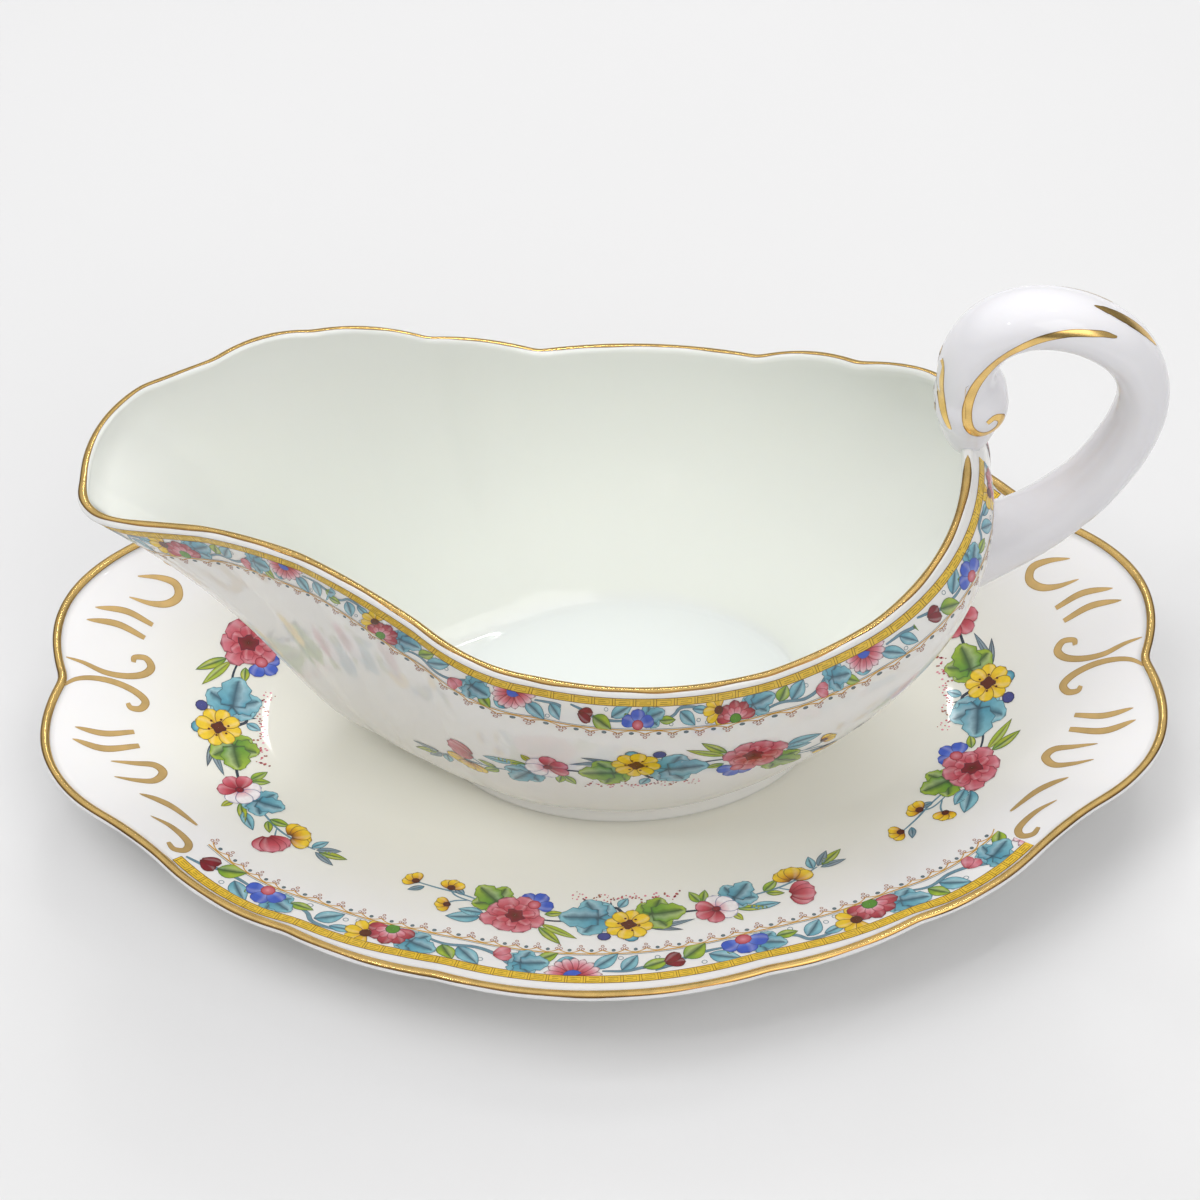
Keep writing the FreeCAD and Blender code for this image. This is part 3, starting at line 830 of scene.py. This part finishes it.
def draw_border(coating, place, bands, runs, size, first, last):
    """One stretch of border from first to last along the rim.
    runs are (where a repeat starts, first and last place where it is drawn); size is the repeat's
    scale along the rim."""
    outer, inner = bands["key"]
    depth = (bands["line"] - inner) / 7.4

    def clipped(low, high):
        def lay(s, d):
            return place(min(max(s, low), high), min(max(d, inner), bands["line"]))
        return lay

    for start, low, high in runs:
        draw_unit(Pen(coating, clipped(low, high), start, inner, scale=(size, depth)))
    draw_key(coating, place, outer, inner, first, last)
    draw_fringe(coating, place, bands["line"], bands["fringe"], first, last)


def draw_key(coating, place, outer, inner, first, last):
    """The yellow band with its thin brown frames and bars."""
    count = round((last - first) / KEY_PITCH)
    pitch = (last - first) / count
    height = inner - outer
    pen = Pen(coating, place, first, outer)
    steps = count * 4
    lift = pen.height()
    rows = [[(pitch * i / 4, height * k) for k in (0, 0.5, 1)] for i in range(steps + 1)]
    shades = [[KEY_YELLOW, mixed(KEY_YELLOW, YELLOW, 0.5), KEY_YELLOW]] * (steps + 1)
    coating.add(pen.place, rows, shades, [[lift] * 3] * (steps + 1))
    top = pen.moved(0, 0, level=0.8)
    for depth in (0.0, height):
        line = [(pitch * i / 4, depth) for i in range(steps + 1)]
        top.stroke(line, 0.2, KEY_BROWN, smooth=False)
    for i in range(count):
        cell = top.moved(pitch * i, 0)
        low, high = height * 0.24, height * 0.76
        for x in (0.0, 0.5):
            cell.stroke([(x, 0), (x, height)], 0.13, KEY_BROWN, smooth=False)
        hook = [(0.5, low), (pitch - 0.6, low), (pitch - 0.6, high), (1.1, high)]
        cell.stroke(hook, 0.13, KEY_BROWN, smooth=False)
        cell.stroke([(1.2, height / 2), (pitch - 1.3, height / 2)], 0.13, KEY_BROWN, smooth=False)


def draw_fringe(coating, place, line, reach, first, last):
    """The ochre line with its swags, little three-loop drops and dots."""
    pitch = 5.0
    count = round((last - first) / pitch)
    pitch = (last - first) / count
    drop = reach - line
    pen = Pen(coating, place, first, line)
    edge = [(pitch * i / 4, 0) for i in range(count * 4 + 1)]
    pen.stroke(edge, 0.36, OCHRE, smooth=False)
    pen.moved(0, -0.45).stroke(edge, 0.14, FRINGE_DOT, smooth=False)
    for i in range(count):
        cell = pen.moved(pitch * i, 0)
        swag = [(pitch * k / 6, drop * (0.38 - 0.30 * math.sin(math.pi * k / 6))) for k in range(7)]
        cell.stroke(swag, 0.26, OCHRE, per_span=2)
        for x, y in ((-0.5, 0.46), (0.5, 0.46), (0, 0.76)):
            cell.moved(x, drop * y, level=0.5).circle(0.34, 0.18, FRINGE_BROWN, steps=9)
        cell.moved(pitch / 2, drop * 0.34, level=0.5).disc(0.48, FRINGE_DOT, INK, steps=8)


# ---- gilding ---------------------------------------------------------------------------------
def gild_rim(coating, rim, normals, radius, columns, span, taper=0):
    """Gold over a rounded rim for a run of columns. span gives its two angles round the bead from
    the rim's y. The edges wander a little, as the gold is painted by hand; it is thinner at its edges, and
    painted darker brown at its outer and inner edge as shade for the dark room it reflects there. taper
    columns round off each end."""
    around = len(rim)
    rings = 9
    start = len(coating.points)
    # Colours across the gold from its outer edge inwards: the dark brown rings at both edges are painted
    # shade.
    shades = [GOLD_PAINTED_SHADE, mixed(GOLD_PAINTED_SHADE, GOLD, 0.3)] + [GOLD] * (rings - 3) + [GOLD_PAINTED_SHADE]
    for order, j in enumerate(columns):
        j = j % around
        low, high = span(rim[j][1])
        s = 2 * math.pi * j / around
        wander = 5 * math.sin(17 * s) + 3 * math.sin(41 * s + 1)
        ends = 1.0
        if taper:
            gap = min(order, len(columns) - 1 - order) / taper
            ends = min(1.0, math.sqrt(gap) + 0.02)
        middle = (low + high) / 2
        a0 = middle + (low + wander - middle) * ends
        a1 = middle + (high - wander * 0.7 - middle) * ends
        for k in range(rings):
            share = k / (rings - 1)
            angle = math.radians(a0 + (a1 - a0) * share)
            lift = 0.05 + 0.05 * math.sin(math.pi * share)
            # Past straight inwards or outwards the gold runs on straight down the side.
            bent = min(max(angle, -0.2), math.pi + 0.2)
            down = abs(angle - bent) * radius
            normal = Vector(normals[j]) * math.cos(bent) + Vector((0, 0, math.sin(bent)))
            point = Vector(rim[j]) + normal * (radius + lift) - Vector((0, 0, radius + down))
            coating.points.append(point)
            coating.normals.append(normal.normalized())
            coating.colours.append(shades[k])
    for c in range(len(columns) - 1):
        for k in range(rings - 1):
            a = start + c * rings + k
            coating.face([a, a + 1, a + rings + 1, a + rings])


def gild_strokes(coating, place, strokes, colour=GOLD, edge=GOLD_PAINTED_SHADE):
    """Brush strokes: (width, share of it at the start, at the end, points)."""
    for width, start, end, points in strokes:
        Pen(coating, place).stroke(points, width, colour, (start, end), edge=edge, per_span=8, dome=0.05)


# Strokes on a lug, (x, y) with x towards the lug's end. They follow the photo.
LUG_STROKES = (
    (1.7, 0.15, 0.5, [(111.6, 6.2), (108.0, 5.6), (103.8, 4.2), (99.6, 4.4), (96.2, 5.9), (94.8, 8.2),
                      (96.0, 10.3), (98.2, 10.0), (98.4, 8.6)]),
    (1.7, 0.15, 0.5, [(111.8, -2.2), (109.0, 0.6), (105.6, 1.9), (101.6, 2.0), (97.6, 0.8), (95.2, -1.2),
                      (95.9, -3.2), (97.8, -3.6), (98.6, -2.6)]),
    (1.5, 0.1, 0.7, [(108.3, -11.2), (102.5, -11.4), (96.8, -9.4)]),
    (1.7, 0.1, 0.7, [(108.5, -14.4), (102.2, -15.4), (95.5, -12.8)]),
    (1.8, 0.1, 0.1, [(100.6, -18.5), (96.0, -17.9), (92.1, -17.4), (90.2, -19.2), (91.6, -22.0),
                     (95.0, -22.8), (99.4, -22.8)]),
    (1.6, 0.1, 0.3, [(94.0, -26.8), (90.6, -27.8), (87.0, -29.8), (81.8, -34.5)]),
    (1.6, 0.1, 0.5, [(91.0, -33.6), (86.6, -36.2), (83.0, -40.2), (83.2, -42.8), (85.4, -43.0),
                     (86.7, -41.2)]),
    (1.5, 0.1, 0.7, [(107.0, 20.6), (100.8, 21.0), (95.2, 18.9)]),
    (1.6, 0.1, 0.7, [(108.5, 17.2), (102.3, 17.5), (96.6, 15.4)]),
    (1.8, 0.1, 0.1, [(98.8, 29.4), (94.4, 29.8), (91.0, 29.0), (90.3, 26.4), (92.4, 24.4), (95.8, 23.8),
                     (100.3, 24.4)]),
    (1.6, 0.1, 0.4, [(93.6, 33.4), (89.6, 32.8), (85.8, 31.8)]),
    (1.6, 0.1, 0.5, [(92.0, 38.4), (87.2, 39.4), (83.4, 42.2), (83.6, 44.4), (85.8, 44.2)]))


# A thick dab at each corner where the stand's lugs meet its long sides, (along the rim, inwards).
CORNER_DAB = (2.1, 0.15, 0.15, [(-3.6, 0.5), (-1.2, 1.1), (1.2, 1.1), (3.6, 0.5)])


# ---- handle ----------------------------------------------------------------------------------
def handle_parts():
    """Point rings of the handle's loop, scroll and neck, each a stack for skin()."""
    line = open_spline(HANDLE_LINE, 8)
    run = np.gradient(line[:, :2], axis=0)
    run /= np.linalg.norm(run, axis=1)[:, None]
    turn = np.linspace(0, 2 * math.pi, 48, endpoint=False)
    loop = []
    for (x, z, thick, wide), (rx, rz) in zip(line, run):
        off = thick * np.cos(turn)
        loop.append(np.stack([x - rz * off, wide * np.sin(turn), z + rx * off], 1))
    scroll = []
    for level in np.sin(np.linspace(-math.pi / 2, math.pi / 2, 25)):
        radius = max(SCROLL_R * (1 - abs(level) ** 3) ** 0.5, 0.05)
        scroll.append(np.stack([SCROLL[0] + radius * np.cos(turn), 0 * turn + SCROLL_HALF_WIDTH * level,
                                SCROLL[1] + radius * np.sin(turn)], 1))
    neck = []
    for z, long, wide in open_spline(NECK, 4):
        neck.append(np.stack([NECK_X + long * np.cos(turn), wide * np.sin(turn), 0 * turn + z], 1))
    return loop, scroll, neck


def make_handle(bowl, inside_faces, material):
    """The handle as one smooth skin, with nothing of it left inside the bowl."""
    points = []
    faces = []
    for part in handle_parts():
        part_points, part_faces = skin(part)
        shift = sum(len(p) for p in points)
        points.append(part_points)
        faces += [[i + shift for i in face] for face in part_faces]
    obj = mesh_object("boat_handle_china", np.concatenate(points), faces)
    melt = obj.modifiers.new("melt", "REMESH")
    melt.mode = "VOXEL"
    melt.voxel_size = 0.55 * MM
    soften = obj.modifiers.new("soften", "SMOOTH")
    soften.factor = 0.5
    soften.iterations = 14
    bpy.context.view_layer.objects.active = obj
    depsgraph = bpy.context.evaluated_depsgraph_get()
    mesh = bpy.data.meshes.new_from_object(obj.evaluated_get(depsgraph))
    obj.modifiers.clear()
    obj.data = mesh
    for vertex in mesh.vertices:
        point = vertex.co / MM
        spot, normal, index, _ = bowl.tree.find_nearest(point)
        inside = index in inside_faces
        outward = (point - spot).dot(normal)
        if inside and point.z < HANDLE_ROOT_TOP and outward > -HANDLE_ROOT_SINK:
            vertex.co = (spot - normal * HANDLE_ROOT_SINK) * MM
    mesh.shade_smooth()
    mesh.materials.clear()
    mesh.materials.append(material)
    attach(obj, "boat")
    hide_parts("boat_handle")
    return obj


# Gold on each flank of the handle, (x, z). The strokes follow the photo.
HANDLE_STROKES = (
    (1.9, 0.12, 0.55, [(97.5, 121.0), (94.0, 122.6), (88.4, 123.7), (83.2, 122.9), (78.8, 120.2),
                       (74.8, 115.9), (71.9, 110.8), (70.7, 105.2), (71.1, 101.0), (72.8, 98.5),
                       (75.0, 97.9), (76.9, 99.1), (77.3, 101.0), (76.0, 102.2), (74.6, 101.4)]),
    (1.5, 0.1, 0.4, [(66.2, 113.0), (65.7, 108.0), (66.4, 103.0), (67.8, 99.0)]),
    (1.3, 0.1, 0.4, [(65.0, 106.6), (64.5, 103.0), (64.9, 100.0)]))
# A dab along the outside of the loop, (x, z).
DAB_UNIT = 4.2              # about the length between its points
HANDLE_DAB = [(94.2, 126.6), (97.8, 125.0), (101.2, 122.1), (104.2, 118.2), (106.2, 114.2)]


# ---- materials -------------------------------------------------------------------------------
def node(tree, kind, **values):
    made = tree.nodes.new(kind)
    for name, value in values.items():
        if name in made.inputs:
            made.inputs[name].default_value = value
        else:
            setattr(made, name, value)
    return made


def new_material(name):
    material = bpy.data.materials.new(name)
    material.use_nodes = True
    tree = material.node_tree
    shader = tree.nodes["Principled BSDF"]
    place = node(tree, "ShaderNodeTexCoord").outputs["Object"]
    return material, tree, shader, place


def noise(tree, place, scale, detail=3.0, roughness=0.5):
    made = node(tree, "ShaderNodeTexNoise", Scale=scale, Detail=detail, Roughness=roughness)
    tree.links.new(place, made.inputs["Vector"])
    return made.outputs["Fac"]


def ramp(tree, factor, stops):
    made = tree.nodes.new("ShaderNodeValToRGB")
    elements = made.color_ramp.elements
    while len(elements) < len(stops):
        elements.new(0.5)
    for element, (position, colour) in zip(elements, stops):
        element.position = position
        element.color = (*colour, 1)
    tree.links.new(factor, made.inputs["Fac"])
    return made.outputs["Color"]


def bump(tree, shader, height, strength, distance):
    made = node(tree, "ShaderNodeBump", Strength=strength, Distance=distance)
    tree.links.new(height, made.inputs["Height"])
    tree.links.new(made.outputs["Normal"], shader.inputs["Normal"])


def glaze_over(tree, shader, place, ripple):
    """A clear glaze: a soft glow in the china and a slightly wavy shine, finer for a larger ripple."""
    shader.inputs["Roughness"].default_value = 0.07
    shader.inputs["IOR"].default_value = 1.5
    shader.inputs["Subsurface Weight"].default_value = 0.12
    shader.inputs["Subsurface Radius"].default_value = (1.0, 0.9, 0.75)
    shader.inputs["Subsurface Scale"].default_value = 0.002
    bump(tree, shader, noise(tree, place, ripple, 2), 0.06, 0.0006)


def glazed_china(name, dark, light):
    """Glazed bone china with faint clouding."""
    material, tree, shader, place = new_material(name)
    cloud = noise(tree, place, 22, 4)
    tree.links.new(ramp(tree, cloud, ((0.3, srgb(dark)), (0.7, srgb(light)))), shader.inputs["Base Color"])
    glaze_over(tree, shader, place, 60)
    return material


def painted_shade_china(name, low, high, stops):
    """Glazed china whose colour changes between two heights: painted light and shade, with faint clouding."""
    material, tree, shader, place = new_material(name)
    split = node(tree, "ShaderNodeSeparateXYZ")
    tree.links.new(place, split.inputs[0])
    height = node(tree, "ShaderNodeMapRange")
    height.inputs["From Min"].default_value = low * MM
    height.inputs["From Max"].default_value = high * MM
    tree.links.new(split.outputs["Z"], height.inputs["Value"])
    cloud = noise(tree, place, 18, 3)
    blend = node(tree, "ShaderNodeMath", operation="MULTIPLY_ADD")
    tree.links.new(cloud, blend.inputs[0])
    blend.inputs[1].default_value = 0.25
    tree.links.new(height.outputs["Result"], blend.inputs[2])
    stops = [(position, srgb(code)) for position, code in stops]
    tree.links.new(ramp(tree, blend.outputs[0], stops), shader.inputs["Base Color"])
    glaze_over(tree, shader, place, 55)
    return material


def tinted(tree, shader, place, scale, amount):
    """The coating's own colours, made a little lighter and darker by fine clouding."""
    paint = node(tree, "ShaderNodeVertexColor", layer_name="Col")
    cloud = noise(tree, place, scale, 4)
    value = node(tree, "ShaderNodeMapRange")
    value.inputs["To Min"].default_value = 1 - amount
    value.inputs["To Max"].default_value = 1 + amount
    tree.links.new(cloud, value.inputs["Value"])
    shade = node(tree, "ShaderNodeHueSaturation")
    tree.links.new(value.outputs["Result"], shade.inputs["Value"])
    tree.links.new(paint.outputs["Color"], shade.inputs["Color"])
    tree.links.new(shade.outputs["Color"], shader.inputs["Base Color"])


def enamel():
    """Printed enamel fired into the glaze."""
    material, tree, shader, place = new_material("printed_enamel_colours")
    tinted(tree, shader, place, 900, 0.22)
    shader.inputs["Roughness"].default_value = 0.16
    shader.inputs["IOR"].default_value = 1.5
    bump(tree, shader, noise(tree, place, 60, 2), 0.06, 0.0006)
    return material


def gilt(name, roughness, metallic):
    """Burnished gold, a little brushed and uneven."""
    material, tree, shader, place = new_material(name)
    tinted(tree, shader, place, 260, 0.28)
    shader.inputs["Metallic"].default_value = metallic
    wear = noise(tree, place, 420, 5, 0.6)
    rough = node(tree, "ShaderNodeMapRange")
    rough.inputs["To Min"].default_value = roughness * 0.85
    rough.inputs["To Max"].default_value = roughness * 1.2
    tree.links.new(wear, rough.inputs["Value"])
    tree.links.new(rough.outputs["Result"], shader.inputs["Roughness"])
    bump(tree, shader, noise(tree, place, 180, 2), 0.04, 0.0002)
    return material


def floor_material():
    """A plain pale matt floor."""
    material, tree, shader, place = new_material("floor_paint")
    cloud = noise(tree, place, 3, 3)
    stops = ((0.3, srgb("E3E3E3")), (0.7, srgb("E6E6E6")))
    tree.links.new(ramp(tree, cloud, stops), shader.inputs["Base Color"])
    shader.inputs["Roughness"].default_value = 0.6
    return material


# ---- pieces ----------------------------------------------------------------------------------
def china_object(name, points, faces, body, node_name, materials, zone=None):
    """A glazed china piece that stands for a frame node. zone gives each face its material."""
    obj = mesh_object(name, points, faces)
    for material in materials:
        obj.data.materials.append(material)
    if zone is not None:
        obj.data.polygons.foreach_set("material_index", zone)
    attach(obj, body)
    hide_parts(node_name)
    return obj


def flipped(place, sign_u, sign_v):
    """A place function mirrored in either or both of its directions."""
    def lay(u, v):
        return place(sign_u * u, sign_v * v)
    return lay


def drop_on(surface):
    """Plan (x, y) straight down onto the stand's top."""
    def lay(x, y):
        return surface.cast((x, y, 60.0), (0, 0, -1))
    return lay


def on_wall(surface, side):
    """(x, z) straight in onto the boat's near (side -1) or far (side 1) wall, turned for the far one."""
    def lay(x, z):
        return surface.cast((x if side < 0 else 2 * BOWL_X - x, 100.0 * side, z), (0, -side, 0))
    return lay


def lip_places(border, near):
    """Places on one half of the boat's border, which sinks away from the lip close to the handle."""
    def lay(s, d):
        sink = LIP_SINK * max(0.0, (s - LIP_SINK_FROM) / (BOAT_REACH[1] - LIP_SINK_FROM)) ** 1.5
        return border(border.length - s if near else s, d + sink)
    return lay


def edge_places(border, middle):
    """Places along one long side of the stand, where the border nears the rim towards its ends."""
    def lay(s, d):
        drift = EDGE_DRIFT * min(1.0, max(0.0, (abs(s) - 42.0) / 30.0))
        return border(middle + s, d - drift)
    return lay


def corner_places(border, x, y):
    """(mm along the stand's rim, mm in from its crest) from the rim's nearest place to (x, y)."""
    gaps = np.hypot(border.spots[0, :, 0] - x, border.spots[0, :, 1] - y)
    start = border.s[int(np.argmin(gaps))]

    def lay(s, d):
        return border(start + s, d)
    return lay


def lip_gold_span(y):
    """The two angles of the lip's gold: further in on the near side, further out on the far one."""
    side = min(max(y / 15.0, -1.0), 1.0)
    return 45 - 11 * side, 124 - 18 * side


def make_stand(gold, paint):
    points, faces = skin(stand_rings())
    # Painted light and shade: a creamier, darker ivory in the middle, painted whiter up the flare to the lugs
    # and rim.
    glaze = painted_shade_china("stand_china_painted_shade_glaze", WELL_Z, STAND_RIM_Z,
                         ((0.1, "F0EFE4"), (0.4, "F1F0E9"), (0.75, "F4F3F2"), (1.0, "F5F4F4")))
    china_object("stand_dish_china", points, faces, "stand", "stand_dish", [glaze])
    surface = Surface(points, faces)
    rim = stand_rim()
    normals = plan_normals(rim)
    border = Border(surface, rim, -normals, 20)
    prints = Coating()
    for middle in (border.length * 0.25, border.length * 0.75):
        draw_border(prints, edge_places(border, middle), STAND_BANDS, STAND_RUNS, 1.0, *STAND_REACH)
    prints.build("stand_border_print", "stand", paint)
    sprays = Coating()
    drop = drop_on(surface)
    for plane in (drop, flipped(drop, -1, -1)):
        draw_spray(Pen(sprays, arc_place(plane, (3.5, 13.0), 70.0, -107.4)))
        draw_spray(Pen(sprays, arc_place(plane, (-36.0, -2.0), 43.0, 152.3)))
    sprays.build("stand_spray_print", "stand", paint)
    gilding = Coating()
    gild_rim(gilding, rim, normals, STAND_RIM_R, range(len(rim) + 1), lambda y: (38, 160))
    corner_x, corner_y = STAND_JOINTS[2]
    for side_y in (1, -1):
        for side_x in (1, -1):
            corner = corner_places(border, side_x * corner_x, side_y * corner_y)
            gild_strokes(gilding, corner, [CORNER_DAB])
    gilding.build("stand_rim_gilding", "stand", gold)
    lugs = Coating()
    for side in (1, -1):
        gild_strokes(lugs, flipped(drop, side, 1), LUG_STROKES, MATT_GOLD, MATT_GOLD_EDGE)
    lugs.build("stand_lug_gilding", "stand", gilt("matt_gilding", 0.42, 0.5))


def make_boat(gold, paint):
    rings, first_inside = bowl_rings()
    points, faces = skin(rings)
    around = len(rings[0])
    inside_from = first_inside * around
    inside = set(range(inside_from, (len(rings) - 1) * around)) | set(range(len(faces) - around, len(faces)))
    zone = [1 if i in inside else 0 for i in range(len(faces))]
    outside_glaze = glazed_china("boat_china_glaze", "F3F2EE", "F6F5F2")
    # The well inside is painted a cooler, slightly darker white than the wall over it: painted shade on the
    # flat well.
    inside_glaze = painted_shade_china("boat_inside_painted_shade_glaze", BOWL_FLOOR_Z - 0.6, BOWL_FLOOR_Z + 2.4,
                                ((0.1, "EAEEED"), (0.5, "EDEFEC"), (1.0, "EEF0EA")))
    china_object("boat_bowl_china", points, faces, "boat", "boat_bowl",
                 [outside_glaze, inside_glaze], zone)
    surface = Surface(points, faces)
    handle = make_handle(surface, inside, glazed_china("handle_china_glaze", "EEEDF1", "F3F2F5"))
    rim = bowl_rim()
    normals = plan_normals(rim)
    border = Border(surface, rim, normals, 21)
    half = border.length / 2
    prints = Coating()
    for near in (True, False):
        draw_border(prints, lip_places(border, near), BOAT_BANDS, BOAT_RUNS, BOAT_UNIT / UNIT, *BOAT_REACH)
    prints.build("boat_border_print", "boat", paint)
    sprays = Coating()
    for side in (-1, 1):
        draw_spray(Pen(sprays, arc_place(on_wall(surface, side), (14.0, -55.0), 100.0, 80.7)))
    sprays.build("boat_spray_print", "boat", paint)
    gilding = Coating()
    stop = int(len(rim) * 0.5 * (1 - RIM_GOLD_GAP / half))
    gild_rim(gilding, rim, normals, BOWL_RIM_R, range(-stop, stop + 1), lip_gold_span, taper=4)
    gilding.build("boat_rim_gilding", "boat", gold)
    trim = Coating()
    foot_line = [(degrees, 0) for degrees in range(0, 361, 2)]
    Pen(trim, foot_places(surface)).stroke(foot_line, 0.6, GOLD, edge=GOLD_PAINTED_SHADE, smooth=False)
    trim.build("boat_foot_gilding", "boat", gold)
    flank = Surface(np.array([v.co for v in handle.data.vertices]) / MM,
                    [list(p.vertices) for p in handle.data.polygons])
    handle_gold = Coating()
    for side in (-1, 1):
        gild_strokes(handle_gold, flank_places(flank, side), HANDLE_STROKES)
    dab = [(DAB_UNIT * k, 0) for k in range(len(HANDLE_DAB))]
    gild_strokes(handle_gold, dab_places(flank), [(2.8, 0.05, 0.05, dab)])
    handle_gold.build("handle_gilding", "boat", gold)


def foot_places(surface):
    """(degrees, height in mm) on the joint of the boat's foot and wall."""
    def lay(degrees, v):
        angle = math.radians(degrees)
        return surface.nearest((BOWL_X + FOOT_LINE[0] * math.cos(angle), FOOT_LINE[1] * math.sin(angle),
                                WALL_Z + 0.1 + v))
    return lay


def flank_places(surface, side):
    """(x, z) straight in onto the near (side -1) or far (side 1) flank of the handle."""
    def lay(x, z):
        return surface.cast((x, 40.0 * side, z), (0, -side, 0))
    return lay


def dab_places(surface):
    """(mm along the dab, mm across it) on the outside of the handle's loop."""
    dab = open_spline(HANDLE_DAB, 10)

    def lay(u, v):
        x, z = dab[min(max(round(u / DAB_UNIT * 10), 0), len(dab) - 1)]
        return surface.nearest((x, v, z))
    return lay


# ---- stage -----------------------------------------------------------------------------------
def area_light(name, place, target, size, watts, colour=(1, 1, 1), mirrored=False):
    """A square light; only a mirrored one shows in the glaze."""
    data = bpy.data.lights.new(name, "AREA")
    data.size = size
    data.energy = watts
    data.color = colour
    lamp = bpy.data.objects.new(name, data)
    lamp.location = place
    lamp.rotation_euler = (Vector(target) - Vector(place)).to_track_quat("-Z", "Y").to_euler()
    lamp.visible_glossy = mirrored
    bpy.context.scene.collection.objects.link(lamp)


def make_stage():
    """A pale floor, a pale world and large soft lights."""
    size = 3.0
    mesh = bpy.data.meshes.new("floor")
    corners = [(-size, -size, 0), (size, -size, 0), (size, size, 0), (-size, size, 0)]
    mesh.from_pydata(corners, [], [(0, 1, 2, 3)])
    floor = bpy.data.objects.new("floor", mesh)
    mesh.materials.append(floor_material())
    bpy.context.scene.collection.objects.link(floor)
    make_world()
    middle = (0, 0, 0.04)
    area_light("key", (-0.5, -0.1, 1.1), middle, 0.7, 4.3)
    area_light("fill", (0.5, -0.7, 0.9), middle, 0.8, 3.5, (1.0, 0.99, 0.97), mirrored=True)
    area_light("back", (0.15, 0.75, 0.9), middle, 0.7, 3.8, (1.0, 0.99, 0.98))
    area_light("spark_left", (-0.30, -0.25, 0.75), middle, 0.035, 0.16, mirrored=True)
    area_light("spark_right", (0.28, 0.10, 0.80), middle, 0.035, 0.16, mirrored=True)
    area_light("spark_back", (-0.05, 0.55, 0.70), middle, 0.05, 0.2, mirrored=True)


def make_world():
    """A pale room: bright overhead, dimmer towards the horizon."""
    world = bpy.data.worlds.new("pale_room")
    world.use_nodes = True
    tree = world.node_tree
    split = node(tree, "ShaderNodeSeparateXYZ")
    tree.links.new(node(tree, "ShaderNodeTexCoord").outputs["Generated"], split.inputs[0])
    stops = ((0.0, (0.16, 0.16, 0.16)), (0.25, (0.24, 0.24, 0.24)), (0.55, (0.62, 0.62, 0.63)),
             (1.0, (1.0, 1.0, 1.02)))
    shade = ramp(tree, split.outputs["Z"], stops)
    background = tree.nodes["Background"]
    tree.links.new(shade, background.inputs["Color"])
    background.inputs["Strength"].default_value = 0.72
    bpy.context.scene.world = world


def make_camera():
    """The viewing angle: 50 degrees above the horizon, a little to the right of the front."""
    azimuth, elevation, roll = math.radians(2.10), math.radians(50.0), math.radians(-2.68)
    back = Vector((math.sin(azimuth) * math.cos(elevation), -math.cos(azimuth) * math.cos(elevation),
                   math.sin(elevation)))
    right = Vector((math.cos(azimuth), math.sin(azimuth), 0))
    up = back.cross(right)
    turned_right = right * math.cos(roll) + up * math.sin(roll)
    turned_up = up * math.cos(roll) - right * math.sin(roll)
    data = bpy.data.cameras.new("camera")
    data.sensor_width = 36.0
    data.lens = 108.2
    camera = bpy.data.objects.new("camera", data)
    place = Vector((17.36, -466.70, 599.92)) * MM
    axes = Matrix((turned_right, turned_up, back)).transposed()
    camera.matrix_world = Matrix.Translation(place) @ axes.to_4x4()
    bpy.context.scene.collection.objects.link(camera)
    bpy.context.scene.camera = camera


def main():
    gold = gilt("burnished_gilding", 0.21, 0.93)
    paint = enamel()
    make_stand(gold, paint)
    make_boat(gold, paint)
    make_stage()
    make_camera()
    view = bpy.context.scene.view_settings
    view.view_transform = "Standard"
    view.look = "None"


main()
